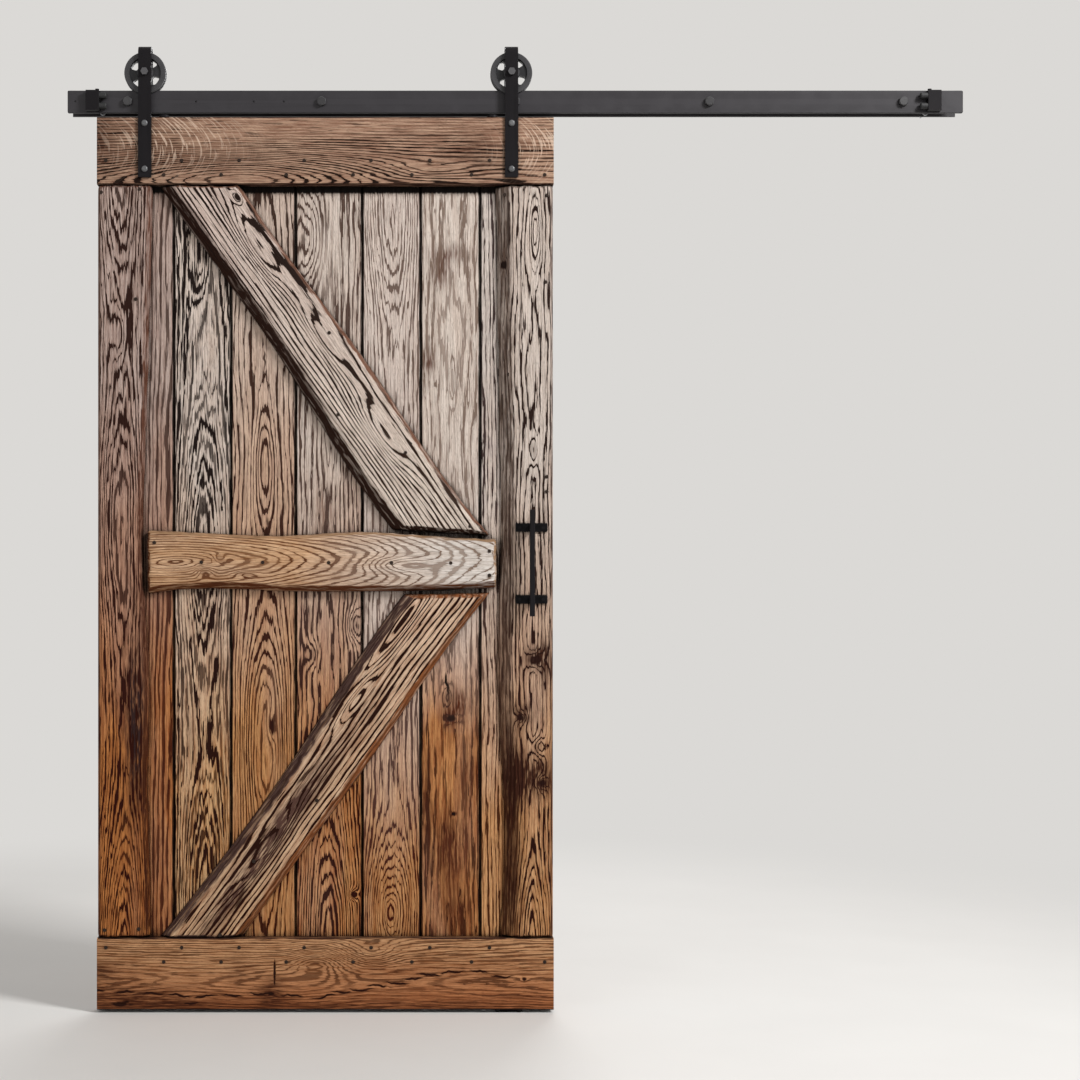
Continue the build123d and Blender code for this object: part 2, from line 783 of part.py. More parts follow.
def nail_places():
    """Every nail as its board's name, place, height and depth below the board's front."""
    places = []
    for x, z in end_board_nails(frame_top, 1, nail_far_row, nail_near_row):
        clear = min(abs(x - place) for place in hanger_places.values())
        if clear > strap_width / 2 + nail_head:
            places.append(("top_board", x, z, 0.0))
    for x, z in end_board_nails(frame_bottom, -1, nail_near_row, nail_far_row):
        places.append(("bottom_board", x, z, 0.0))
    for x, drop in left_stile_nails:
        places.append(("left_stile", door_left + x, frame_top - drop, 0.0))
    for x, rise in left_stile_low_nails:
        places.append(("left_stile", door_left + x, frame_bottom + rise, 0.0))
    for x, drop in right_stile_nails:
        places.append(("right_stile", door_right - x, frame_top - drop, 0.0))
    for x, drop, sink in right_stile_edge_nails:
        places.append(("right_stile", door_right - x, frame_top - drop, sink))
    for x, z in mid_rail_nails():
        places.append(("mid_rail", x, z, 0.0))
    for down, across in upper_brace_nails:
        x, z = on_brace(upper_brace_corners(), down, across)
        places.append(("upper_brace", x, z, 0.0))
    for down, across in lower_brace_nails:
        x, z = on_brace(lower_brace_corners(), down, across)
        places.append(("lower_brace", x, z, 0.0))
    return places


def mid_rail_nails():
    """One nail in the middle of each inner plank, one at the left end and two at the right end."""
    (left, z1), (right, z2), (x3, z3), (x4, z4) = mid_rail_corners()
    places = [(left + mid_rail_nail_inset, z1 - mid_rail_nail_spread)]
    for a, b in zip(plank_lines[1:], plank_lines[2:-1]):
        x = (a + b) / 2
        places.append((x, (mid_rail_edge(x, True) + mid_rail_edge(x, False)) / 2))
    places.append((right - mid_rail_nail_inset, z2 - mid_rail_nail_spread))
    places.append((right - mid_rail_nail_inset, z3 + mid_rail_nail_spread))
    return places


def nail_shaft(x, z, front):
    half = nail_shank / 2
    return block(x - half, x + half, front, plank_front + nail_bite, z - half, z + half)


def make_nail(x, z, sink):
    """Forged nail: an eight-sided head on a square shank."""
    front = board_front + sink
    sides = RegularPolygon(nail_head / 2, 8, major_radius=False)
    head = front_plane(front) * Pos(x, z, 0) * extrude(sides, nail_head_height, taper=25)
    return head + nail_shaft(x, z, front)


def nail_cuts(board):
    """What the nails take out of a board: their shanks, and a pocket where one sits on a sloped edge."""
    cuts = []
    for name, x, z, sink in nail_places():
        if name != board:
            continue
        cuts.append(nail_shaft(x, z, board_front))
        if sink > 0:
            pocket = nail_head / 2 + nail_clear_pocket
            cuts.append(block(x - pocket, x + pocket, board_front, board_front + sink, z - pocket, z + pocket))
    return cuts


# Handle, discs and floor guide


def handle_place():
    return door_right - handle_inset, door_top - handle_drop


def handle_bar_back():
    return board_front - handle_finger_gap


def make_handle_bar():
    x, z = handle_place()
    half, reach = handle_bar_width / 2, handle_bar_length / 2
    back = handle_bar_back()
    bar = block(x - half, x + half, back - handle_bar_width, back, z - reach, z + reach)
    return chamfer(bar.edges(), handle_bar_arris)


def handle_plate_heights():
    x, z = handle_place()
    return {"upper": z + handle_plate_spacing / 2, "lower": z - handle_plate_spacing / 2}


def handle_screw_places(z):
    x = handle_place()[0]
    reach = handle_plate_width / 2 - handle_screw_inset
    return [(x - reach, z), (x + reach, z)]


def handle_screw_shank(x, z):
    start = board_front - handle_plate_thickness
    return rod(x, z, start, start + handle_screw_length, handle_screw_diameter)


def handle_screw_shanks():
    return [handle_screw_shank(*place) for z in handle_plate_heights().values() for place in handle_screw_places(z)]


def make_handle_screw(x, z):
    """Countersunk screw, flush with the plate."""
    front = board_front - handle_plate_thickness
    depth = (handle_screw_head - handle_screw_diameter) / 2
    return handle_screw_shank(x, z) + taper(x, z, front, front + depth, handle_screw_head, handle_screw_diameter)


def make_handle_bracket(z):
    """Fixing plate with a square post that carries the bar."""
    x = handle_place()[0]
    half_width, half_height = handle_plate_width / 2, handle_plate_height / 2
    front = board_front - handle_plate_thickness
    plate = block(x - half_width, x + half_width, front, board_front, z - half_height, z + half_height)
    plate = fillet(plate.edges().filter_by(Axis.Y), handle_plate_corner)
    half = handle_bar_width / 2
    post = block(x - half, x + half, handle_bar_back(), front, z - half, z + half)
    return plate + post - [make_handle_screw(*place) for place in handle_screw_places(z)]


def disc_places():
    return [hanger_places["left"] + disc_offset, hanger_places["right"] - disc_offset]


def disc_screw(x):
    """Countersunk screw down through a disc into the top board."""
    top = door_top + disc_thickness
    depth = (disc_screw_head - disc_screw_diameter) / 2
    shank = upright_rod(x, rail_middle, top - disc_screw_length, top, disc_screw_diameter)
    return shank + upright_taper(x, rail_middle, top - depth, top, disc_screw_diameter, disc_screw_head)


def make_disc(x):
    disc = upright_rod(x, rail_middle, door_top, door_top + disc_thickness, disc_diameter)
    disc = chamfer(disc.faces().sort_by(Axis.Z)[-1].edges(), rail_arris)
    return disc - disc_screw(x)


def guide_screw_places():
    x, y = door_right - guide_inset, groove_middle + guide_screw_offset
    return [(x - guide_screw_spacing / 2, y), (x + guide_screw_spacing / 2, y)]


def make_guide_screw(x, y):
    top = floor + guide_base_thickness
    depth = (guide_screw_head - guide_screw_diameter) / 2
    shank = upright_rod(x, y, floor, top, guide_screw_diameter)
    thread = upright_rod(x, y, top - guide_screw_length, floor, guide_screw_thread)
    return shank + thread + upright_taper(x, y, top - depth, top, guide_screw_diameter, guide_screw_head)


def make_floor_guide():
    """Base plate on the floor with a blade that stands in the door's groove."""
    x = door_right - guide_inset
    top = floor + guide_base_thickness
    half = guide_base_length / 2
    y0 = groove_middle - guide_blade_thickness / 2 - guide_edge_margin
    base = block(x - half, x + half, y0, y0 + guide_base_width, floor, top)
    half_blade, half_thick = guide_blade_length / 2, guide_blade_thickness / 2
    blade = block(
        x - half_blade, x + half_blade, groove_middle - half_thick, groove_middle + half_thick,
        top, top + guide_blade_rise,
    )
    return base + blade - [make_guide_screw(*place) for place in guide_screw_places()]


def make_nodes():
    """Every named piece of the door and its track."""
    nails = nail_places()
    nail_solids = {}
    for name, x, z, sink in nails:
        nail_solids.setdefault(name, []).append(make_nail(x, z, sink))
    shanks = [nail_shaft(x, z, board_front) for name, x, z, sink in nails]
    nodes = {
        "rail": make_rail(),
        "wall_strip": make_wall_strip(),
        "strip_screws": joined([make_strip_screw(*place) for place in strip_screw_places()]),
        "rail_spacers": joined([make_spacer(x) for x in lag_places]),
        "coach_screws": joined([make_lag(x) for x in lag_places]),
        "floor_guide": make_floor_guide(),
        "floor_guide_screws": joined([make_guide_screw(*place) for place in guide_screw_places()]),
    }
    for side in ("left", "right"):
        heights = (-buffer_spacing / 2, buffer_spacing / 2)
        nodes[f"{side}_stop_block"] = make_stop_block(side)
        nodes[f"{side}_stop_buffers"] = joined([make_buffer(side, z) for z in heights])
        nodes[f"{side}_stop_lock_screw"] = make_lock_screw(side)
        nodes[f"{side}_stop_bolts"] = joined([make_stop_bolt(*place) for place in stop_bolt_places(side)])
    for side, x in hanger_places.items():
        nodes[f"{side}_hanger"] = make_hanger(x)
        nodes[f"{side}_wheel"] = make_wheel(x)
        nodes[f"{side}_bearing_outer"] = make_bearing_outer(x)
        nodes[f"{side}_bearing_inner"] = make_bearing_inner(x)
        nodes[f"{side}_axle_bolt"] = make_axle_bolt(x)
        nodes[f"{side}_axle_nut"] = make_axle_nut(x)
        nodes[f"{side}_axle_sleeves"] = joined(make_axle_sleeves(x))
    nodes["hanger_bolts"] = joined([make_hanger_bolt(*place) for place in hanger_bolt_places()])
    nodes["hanger_washers"] = joined([make_hanger_washer(*place) for place in hanger_bolt_places()])
    nodes["hanger_nuts"] = joined([make_hanger_nut(*place) for place in hanger_bolt_places()])
    nodes["anti_jump_discs"] = joined([make_disc(x) for x in disc_places()])
    nodes["disc_screws"] = joined([disc_screw(x) for x in disc_places()])
    for i, (left, right) in enumerate(zip(plank_lines, plank_lines[1:])):
        nodes[f"plank_{i + 1}"] = make_plank(left, right, shanks)
    boards = {
        "top_board": make_top_board(),
        "bottom_board": make_bottom_board(),
        "left_stile": make_left_stile(),
        "right_stile": make_right_stile() - handle_screw_shanks(),
        "mid_rail": make_mid_rail(),
        "upper_brace": make_upper_brace(),
        "lower_brace": make_lower_brace(),
    }
    for name, board in boards.items():
        nodes[name] = board - nail_cuts(name)
    for name in boards:
        nodes[f"{name}_nails"] = joined(nail_solids[name])
    nodes["handle_bar"] = make_handle_bar()
    for end, z in handle_plate_heights().items():
        nodes[f"handle_{end}_bracket"] = make_handle_bracket(z)
    screws = [make_handle_screw(*p) for z in handle_plate_heights().values() for p in handle_screw_places(z)]
    nodes["handle_screws"] = joined(screws)
    return nodes


os.makedirs("parts", exist_ok=True)
for node, shape in make_nodes().items():
    export_step(shape, f"parts/{node}.step")
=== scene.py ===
import bpy
import math
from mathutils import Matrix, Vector


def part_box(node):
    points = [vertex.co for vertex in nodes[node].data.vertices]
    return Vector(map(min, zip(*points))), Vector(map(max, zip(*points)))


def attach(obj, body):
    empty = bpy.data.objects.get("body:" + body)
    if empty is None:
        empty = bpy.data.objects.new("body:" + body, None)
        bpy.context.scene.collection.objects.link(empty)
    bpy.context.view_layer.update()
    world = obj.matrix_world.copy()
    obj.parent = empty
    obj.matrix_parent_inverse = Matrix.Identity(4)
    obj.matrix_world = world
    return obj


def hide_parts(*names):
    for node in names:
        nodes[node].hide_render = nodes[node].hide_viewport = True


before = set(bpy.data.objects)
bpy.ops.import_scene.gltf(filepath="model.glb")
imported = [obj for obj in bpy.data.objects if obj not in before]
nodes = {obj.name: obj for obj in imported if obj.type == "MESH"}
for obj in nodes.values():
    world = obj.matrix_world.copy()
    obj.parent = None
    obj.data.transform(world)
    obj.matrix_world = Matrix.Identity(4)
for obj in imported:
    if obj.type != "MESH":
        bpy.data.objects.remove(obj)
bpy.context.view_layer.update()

# Viewpoint: a level camera stands before the door's right half, as high as the handle's lower end.
# Its lens is shifted, not turned, so that uprights stay upright.
scene = bpy.context.scene
scene.view_settings.view_transform = "Standard"
viewpoint = bpy.data.cameras.new("viewpoint")
viewpoint.lens = 59.7
viewpoint.shift_x = 0.14
viewpoint.shift_y = 0.067
camera = bpy.data.objects.new("viewpoint", viewpoint)
camera.location = (-0.2825, -4.0455, -1.1405)
camera.rotation_euler = (math.radians(90), 0, 0)
scene.collection.objects.link(camera)
scene.camera = camera


# Studio floor: a plain pale sheet just under the floor guide. Away from the door it runs over into
# the backdrop's colour, so that no far edge shows.
def fill(tree, made, values):
    """Fills a node's inputs with values or with other nodes' outputs."""
    for socket, value in values.items():
        if isinstance(value, bpy.types.NodeSocket):
            tree.links.new(value, made.inputs[socket])
        else:
            made.inputs[socket].default_value = value


def node(tree, kind, inputs=None, **settings):
    """Adds a shader node, sets its options and fills its inputs."""
    made = tree.nodes.new(kind)
    for key, value in settings.items():
        setattr(made, key, value)
    fill(tree, made, inputs or {})
    return made


def calc(tree, operation, *values):
    """A Math node's result."""
    return node(tree, "ShaderNodeMath", dict(enumerate(values)), operation=operation).outputs[0]


def ranged(tree, value, low, high, first=0.0, last=1.0, smooth="SMOOTHSTEP"):
    """A value taken from one range to another, held at the ends."""
    inputs = {0: value, 1: low, 2: high, 3: first, 4: last}
    return node(tree, "ShaderNodeMapRange", inputs, interpolation_type=smooth).outputs[0]


def blend(tree, factor, first, second):
    """A colour between two colours."""
    return node(tree, "ShaderNodeMix", {0: factor, 6: first, 7: second}, data_type="RGBA").outputs[2]


def noise(tree, place, scale, detail):
    """Noise from 0 to 1, mostly near 0.5."""
    inputs = {"Vector": place, "Scale": scale, "Detail": detail}
    return node(tree, "ShaderNodeTexNoise", inputs).outputs["Fac"]


def tone(text):
    """Linear colour of a web colour such as #b8a9a2."""
    parts = [int(text[i:i + 2], 16) / 255 for i in (1, 3, 5)]
    linear = [p / 12.92 if p <= 0.04045 else ((p + 0.055) / 1.055) ** 2.4 for p in parts]
    return (*linear, 1.0)


def new_material(name):
    """A node material with its tree, its Principled shader and the piece's own coordinates."""
    material = bpy.data.materials.new(name)
    material.use_nodes = True
    tree = material.node_tree
    where = node(tree, "ShaderNodeTexCoord").outputs["Object"]
    return material, tree, tree.nodes["Principled BSDF"], where


door_middle = (-0.4, 0, -1.0)
floor_size = 30
floor_drop = 0.0005
fade_start, fade_end = 1.5, 3.4
backdrop_tone = tone("#dbd9d6")
floor_material, tree, shader, where = new_material("pale floor")
speckle = noise(tree, where, scale=3.0, detail=4.0)
fill(tree, shader, {"Base Color": blend(tree, speckle, tone("#dedcd9"), tone("#d7d5d2")), "Roughness": 0.7})
distance = node(tree, "ShaderNodeVectorMath", {0: where}, operation="LENGTH").outputs["Value"]
ray = node(tree, "ShaderNodeLightPath").outputs
seen = calc(tree, "MAXIMUM", ray["Is Camera Ray"], ray["Is Glossy Ray"])
faded = calc(tree, "MULTIPLY", ranged(tree, distance, fade_start, fade_end), seen)
plain = node(tree, "ShaderNodeEmission", {"Color": backdrop_tone, "Strength": 1.0}).outputs[0]
sheet = node(tree, "ShaderNodeMixShader", {0: faded, 1: shader.outputs[0], 2: plain}).outputs[0]
fill(tree, tree.nodes["Material Output"], {"Surface": sheet})
bpy.ops.object.select_all(action="DESELECT")
floor_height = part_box("floor_guide")[0][2] - floor_drop
bpy.ops.mesh.primitive_plane_add(size=floor_size, location=(door_middle[0], 0, floor_height))
studio_floor = bpy.context.object
studio_floor.name = "studio_floor"
studio_floor.data.materials.append(floor_material)

# Studio light: an even pale sky with one large soft lamp high on the right, which draws the boards'
# shadows to the lower left, a weak fill from the left and one behind for the door's back.
world = bpy.data.worlds.new("studio air")
world.use_nodes = True
scene.world = world
sky = world.node_tree
sky_light = sky.nodes["Background"]
fill(sky, sky_light, {"Color": tone("#f6f4f1"), "Strength": 0.33})
backdrop = node(sky, "ShaderNodeBackground", {"Color": backdrop_tone, "Strength": 1.0}).outputs[0]
ray = node(sky, "ShaderNodeLightPath").outputs
mirrored = calc(sky, "MAXIMUM", ray["Is Glossy Ray"], ray["Is Transmission Ray"])
seen = calc(sky, "MAXIMUM", ray["Is Camera Ray"], mirrored)
air = node(sky, "ShaderNodeMixShader", {0: seen, 1: sky_light.outputs[0], 2: backdrop}).outputs[0]
fill(sky, sky.nodes["World Output"], {"Surface": air})


def softbox(name, place, size, watts):
    """Soft square lamp aimed at the door's middle."""
    lamp = bpy.data.lights.new(name, "AREA")
    lamp.shape = "SQUARE"
    lamp.size = size
    lamp.energy = watts
    stand = bpy.data.objects.new(name, lamp)
    stand.location = place
    stand.rotation_euler = (Vector(door_middle) - Vector(place)).to_track_quat("-Z", "Y").to_euler()
    scene.collection.objects.link(stand)


softbox("main lamp", place=(3.2, -2.7, 2.2), size=1.2, watts=285)
softbox("left fill", place=(-3.4, -3.8, 0.4), size=3.0, watts=30)
softbox("back fill", place=(0.5, 4.2, 1.2), size=2.5, watts=90)


# Rail: flat hot-rolled bar with rounded corners and punched holes, finished in satin black powder
# coat that goes a little pale where the wheels and hands rub its edges.
def new_group(name, takes, gives):
    """An empty node group with the sockets that it takes and gives, each label with its kind."""
    group = bpy.data.node_groups.new(name, "ShaderNodeTree")
    for labels, way in ((takes, "INPUT"), (gives, "OUTPUT")):
        for label, kind in labels.items():
            group.interface.new_socket(label, in_out=way, socket_type=f"NodeSocket{kind}")
    return group, node(group, "NodeGroupInput").outputs


def bump(tree, height, strength, distance):
    """The normal that a height gives."""
    inputs = {"Height": height, "Strength": strength, "Distance": distance}
    return node(tree, "ShaderNodeBump", inputs).outputs[0]


def share(tree, value, part, base):
    """A base with a part of a value added."""
    return calc(tree, "MULTIPLY_ADD", value, part, base)


finish_sockets = {"Color": "Color", "Roughness": "Float", "Height": "Float"}


def powder_coat_group():
    """Colour, roughness and height of satin black powder coat."""
    takes = {"Place": "Vector", "Coat": "Color", "Rubbed": "Color"}
    group, given = new_group("black powder coat", takes, finish_sockets)
    grit = noise(group, given["Place"], scale=900.0, detail=2.0)
    cloud = noise(group, given["Place"], scale=26.0, detail=6.0)
    wiped = ranged(group, cloud, low=0.42, high=0.72)
    pointed = node(group, "ShaderNodeNewGeometry").outputs["Pointiness"]
    worn = share(group, wiped, part=0.15, base=ranged(group, pointed, low=0.52, high=0.62))
    rough = share(group, wiped, part=0.1, base=share(group, grit, part=0.12, base=0.34))
    node(group, "NodeGroupOutput", {
        "Color": blend(group, worn, given["Coat"], given["Rubbed"]),
        "Roughness": rough,
        "Height": share(group, grit, part=0.25, base=cloud),
    })
    return group


powder_coat = powder_coat_group()


def black_steel(name, coat, rubbed, gloss=0.2):
    """Powder-coated steel in a given depth of black and gloss."""
    material, tree, shader, where = new_material(name)
    inputs = {"Place": where, "Coat": tone(coat), "Rubbed": tone(rubbed)}
    finish = node(tree, "ShaderNodeGroup", inputs, node_tree=powder_coat).outputs
    fill(tree, shader, {
        "Base Color": finish["Color"],
        "Roughness": finish["Roughness"],
        "Normal": bump(tree, finish["Height"], strength=0.5, distance=0.00025),
        "Specular IOR Level": gloss,
    })
    return material


def finish_nodes(material, *names):
    """Gives carried-over pieces their material."""
    for name in names:
        nodes[name].data.materials.clear()
        nodes[name].data.materials.append(material)


finish_nodes(black_steel("rail black", "#201e20", "#353336", gloss=0.25), "rail")

# Strip: a second flat steel bar behind the rail, which spreads the load of the five coach screws. It
# stands in the rail's shade and has the same black coat.
finish_nodes(black_steel("strip black", "#242224", "#3a383a"), "wall_strip")

# Coach screws and spacers: forged screws with hexagonal heads go through the rail, through lengths of
# cut tube and through the strip. Both are dipped in the same black, with a stronger shine.
screw_black = black_steel("screw black", "#171618", "#4a494b", gloss=0.5)
finish_nodes(screw_black, "coach_screws", "rail_spacers")


# Strip screws: two pan-headed steel screws that hold the strip by itself. Their zinc plating is
# bright and slightly clouded.
def bright_steel(name, colour, dull):
    """Bare or plated steel with fine turning marks."""
    material, tree, shader, where = new_material(name)
    marks = noise(tree, where, scale=700.0, detail=3.0)
    cloud = noise(tree, where, scale=60.0, detail=4.0)
    fill(tree, shader, {
        "Base Color": blend(tree, cloud, tone(colour), tone(dull)),
        "Metallic": 1.0,
        "Roughness": share(tree, marks, part=0.2, base=0.22),
        "Normal": bump(tree, marks, strength=0.3, distance=0.0002),
    })
    return material


zinc = bright_steel("zinc plate", "#c9cacc", "#9da0a4")
finish_nodes(zinc, "strip_screws")

# Stops: a steel block bolted on each end of the rail, with a small screw on top that grips the
# buffers' stems. Both have the deep dull black of the hangers.
sides = ("left", "right")
fitting_black = black_steel("fitting black", "#070607", "#1c1a1c", gloss=0.08)
for side in sides:
    finish_nodes(fitting_black, f"{side}_stop_block", f"{side}_stop_lock_screw", f"{side}_stop_bolts")

# Buffers: two turned pieces of black rubber on each stop, with rounded noses and a stem in the block.
# They soften the stop of the door and are dull, with a faint grey bloom.
rubber, tree, shader, where = new_material("buffer rubber")
bloom = noise(tree, where, scale=90.0, detail=5.0)
fill(tree, shader, {
    "Base Color": blend(tree, bloom, tone("#0f0f10"), tone("#29292a")),
    "Roughness": share(tree, bloom, part=0.15, base=0.6),
})
for side in sides:
    finish_nodes(rubber, f"{side}_stop_buffers")

# Hangers: flat steel straps folded over the wheels. Each is held to the door by two domed bolts, whose
# heads are painted mid grey with paler rims as a painted highlight for the light that they catch, and
# holds its wheel by an axle bolt with a hexagonal head.
# Painted highlight: the domes are mid grey with paler rims, unlike the black hangers, to stand for the light
# on them.
dome_highlight_grey = black_steel("dome black", "#4a4b4d", "#8b8b8d", gloss=0.8)
for side in sides:
    finish_nodes(fitting_black, f"{side}_hanger")
    finish_nodes(screw_black, f"{side}_axle_bolt")
finish_nodes(dome_highlight_grey, "hanger_bolts")

# Wheels: cast and turned, each with a groove that rides on the rail and four rounded openings. They
# are blackened all over and a little paler on their rubbed edges.
wheel_black = black_steel("wheel black", "#1f1f21", "#4a494b", gloss=0.3)
for side in sides:
    finish_nodes(wheel_black, f"{side}_wheel")

# Bearings, sleeves, nuts and washers: ground rings and cut tube on the axle inside the hanger's
# fold, and plated nuts on washers in pockets in the door's back.
ring_steel = bright_steel("ground steel", "#b4b6ba", "#8e9196")
for side in sides:
    finish_nodes(ring_steel, f"{side}_bearing_outer", f"{side}_bearing_inner", f"{side}_axle_sleeves")
    finish_nodes(zinc, f"{side}_axle_nut")
finish_nodes(zinc, "hanger_washers", "hanger_nuts")

# Discs and floor guide: two black discs screwed on the door's top edge keep the wheels from jumping
# off the rail, and a black blade on a screwed foot runs in a groove in the bottom edge.
finish_nodes(fitting_black, "anti_jump_discs", "floor_guide", "floor_guide_screws")
finish_nodes(zinc, "disc_screws")


# Planks: seven upright oak boards, lapped at their edges, make the door's back layer. They were
# brushed, which wears the soft spring wood back, and oiled, which fills each growth line with dark.
# Their lower half has gone warm and brown.
def swing(tree, value):
    """Noise made to swing about zero."""
    return calc(tree, "SUBTRACT", value, 0.5)


def clamped(tree, value):
    """A value held between 0 and 1."""
    return node(tree, "ShaderNodeClamp", {"Value": value}).outputs[0]


def growth_eye_group():
    """Adds one oval to the growth lines: a knot, a long flame, or the nested arches round a hollow."""
    labels = ("Across", "Along", "Fray", "Figure before", "Core before", "Centre across", "Centre along",
              "Half width", "Half length", "Rise", "Core")
    takes = dict.fromkeys(labels, "Float")
    group, given = new_group("growth eye", takes, {"Figure": "Float", "Core": "Float"})

    def reach(label, centre, half):
        """Distance from the oval's centre, which is 1 at the oval's edge."""
        return calc(group, "DIVIDE", calc(group, "SUBTRACT", given[label], given[centre]), given[half])

    across = reach("Across", "Centre across", "Half width")
    along = reach("Along", "Centre along", "Half length")
    squared = share(group, across, part=across, base=calc(group, "MULTIPLY", along, along))
    swelling = calc(group, "EXPONENT", calc(group, "MULTIPLY", squared, -1.0))
    frayed = share(group, given["Fray"], part=0.8, base=swelling)
    core = calc(group, "MULTIPLY", ranged(group, frayed, low=0.5, high=0.95), given["Core"])
    node(group, "NodeGroupOutput", {
        "Figure": share(group, swelling, part=given["Rise"], base=given["Figure before"]),
        "Core": calc(group, "MAXIMUM", core, given["Core before"]),
    })
    return group


def ring_count(group, given, streaks):
    """Growth rings from the log's heart to a place, with all that bends, shifts and frays them."""
    wander = given["Wander"]
    sway = swing(group, streaks(across=2.5, along=1.4, detail=2.0, shift=9.0))
    dip = swing(group, streaks(across=1.5, along=2.4, detail=1.0, shift=21.0))
    drift = swing(group, streaks(across=16.0, along=2.6, detail=2.0, shift=3.0))
    tear = swing(group, streaks(across=110.0, along=9.0, detail=2.0, shift=5.0))
    fringe = swing(group, streaks(across=300.0, along=20.0, detail=2.0, shift=6.0))
    beside = calc(group, "SUBTRACT", given["Across"], given["Heart"])
    beside = share(group, sway, part=wander, base=beside)
    below = share(group, given["Along"], part=given["Taper"], base=given["Heart depth"])
    below = share(group, dip, part=wander, base=calc(group, "ADD", below, given["Depth"]))
    squared = share(group, below, part=below, base=calc(group, "MULTIPLY", beside, beside))
    radius = calc(group, "ADD", calc(group, "SQRT", squared), given["Figure"])
    radius = share(group, drift, part=calc(group, "MULTIPLY", wander, 0.6), base=radius)
    rings = calc(group, "DIVIDE", radius, given["Line spacing"])
    ragged = share(group, tear, part=2.2, base=calc(group, "MULTIPLY", fringe, 1.5))
    return share(group, ragged, part=given["Raggedness"], base=rings)


def growth_lines(group, given, streaks):
    """The dark line of each ring, the soft shade beside it, and how dark its year is."""
    rings = ring_count(group, given, streaks)
    year = calc(group, "ADD", calc(group, "FLOOR", rings), given["Seed"])
    year = node(group, "ShaderNodeTexWhiteNoise", {"W": year}, noise_dimensions="1D").outputs
    dry = node(group, "ShaderNodeSeparateColor", {0: year["Color"]}).outputs[2]
    off_line = calc(group, "ABSOLUTE", swing(group, calc(group, "FRACT", rings)))
    width = share(group, year["Value"], part=1.0, base=0.45)
    width = calc(group, "MULTIPLY", given["Line width"], width)
    broken = streaks(across=46.0, along=7.0, detail=3.0, shift=11.0)
    width = calc(group, "MULTIPLY", width, ranged(group, broken, low=0.33, high=0.52, first=0.3, last=1.05))
    core = calc(group, "MULTIPLY", width, 0.8)
    line = ranged(group, off_line, core, width, first=1.0, last=0.0)
    halo = ranged(group, off_line, width, calc(group, "ADD", width, 0.16), first=1.0, last=0.0)
    return line, halo, ranged(group, dry, low=0.0, high=0.5, first=0.72)


def brushed_oak_group():
    """Colour, roughness and height of brushed oak from a place on the board."""
    labels = ("Across", "Along", "Depth", "Figure", "Core", "Stain", "Edge", "Seed", "Heart", "Heart depth",
              "Taper", "Line spacing", "Wander", "Raggedness", "Line strength", "Line width")
    colours = ("Pale", "Body", "Line", "Stain colour", "Edge colour")
    takes = dict.fromkeys(labels, "Float") | dict.fromkeys(colours, "Color")
    group, given = new_group("brushed oak", takes, finish_sockets)

    def streaks(across, along, detail, shift):
        """Noise drawn out along the board, moved by a shift and by the board's own seed."""
        place = node(group, "ShaderNodeCombineXYZ", {
            0: calc(group, "MULTIPLY", given["Across"], across),
            1: share(group, given["Depth"], part=across, base=shift),
            2: share(group, given["Along"], part=along, base=given["Seed"]),
        }).outputs[0]
        return noise(group, place, scale=1.0, detail=detail)

    line, halo, dryness = growth_lines(group, given, streaks)
    hair = ranged(group, streaks(across=280.0, along=15.0, detail=3.0, shift=7.0), low=0.36, high=0.64)
    fine = ranged(group, streaks(across=480.0, along=110.0, detail=2.0, shift=2.0), low=0.48, high=0.72)
    cloud = ranged(group, streaks(across=20.0, along=2.4, detail=3.0, shift=13.0), low=0.32, high=0.68)
    pores = ranged(group, streaks(across=270.0, along=22.0, detail=3.0, shift=17.0), low=0.54, high=0.64)
    streak = streaks(across=150.0, along=14.0, detail=4.0, shift=27.0)
    streak = ranged(group, streak, low=0.38, high=0.6, first=0.4, last=1.15)

    dark = calc(group, "MULTIPLY", line, share(group, hair, part=-0.25, base=1.25))
    dark = calc(group, "MULTIPLY", dark, dryness)
    dark = calc(group, "MULTIPLY", dark, share(group, given["Edge"], part=-0.6, base=given["Line strength"]))
    specks = calc(group, "MULTIPLY", pores, share(group, halo, part=0.4, base=0.3))
    specks = calc(group, "MAXIMUM", specks, calc(group, "MULTIPLY", fine, 0.26))
    dark = clamped(group, calc(group, "MAXIMUM", calc(group, "MAXIMUM", dark, specks), given["Core"]))
    deep = clamped(group, calc(group, "SUBTRACT", given["Core"], 1.0))

    body = share(group, hair, part=0.5, base=calc(group, "MULTIPLY", cloud, 0.25))
    body = clamped(group, share(group, halo, part=0.3, base=body))
    soaked = calc(group, "MULTIPLY", given["Stain"], share(group, hair, part=0.35, base=0.65))
    # Partly painted shade: slopes take the edge colour, which is partly the live edge's own tone and partly
    # painted shade and light.
    live_edge_and_shade = calc(group, "MULTIPLY", given["Edge"], streak)
    wood = blend(group, body, given["Pale"], given["Body"])
    wood = blend(group, soaked, wood, given["Stain colour"])
    wood = blend(group, live_edge_and_shade, wood, given["Edge colour"])
    wood = blend(group, dark, wood, given["Line"])
    rough = share(group, hair, part=0.1, base=0.5)
    node(group, "NodeGroupOutput", {
        "Color": blend(group, deep, wood, tone("#080402")),
        "Roughness": share(group, dark, part=0.2, base=rough),
        "Height": share(group, dark, part=-0.7, base=calc(group, "MULTIPLY", hair, -0.3)),
    })
    return group


growth_eye = growth_eye_group()
brushed_oak = brushed_oak_group()
door_sides = (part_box("plank_1")[0][0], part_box("plank_7")[1][0])
board_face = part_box("top_board")[0][1]
ray_tone = tone("#cfb5a0")
# Painted shade: the near-black that corners and the shadow band under the top board are darkened towards.
painted_shade_tone = tone("#0c0603")


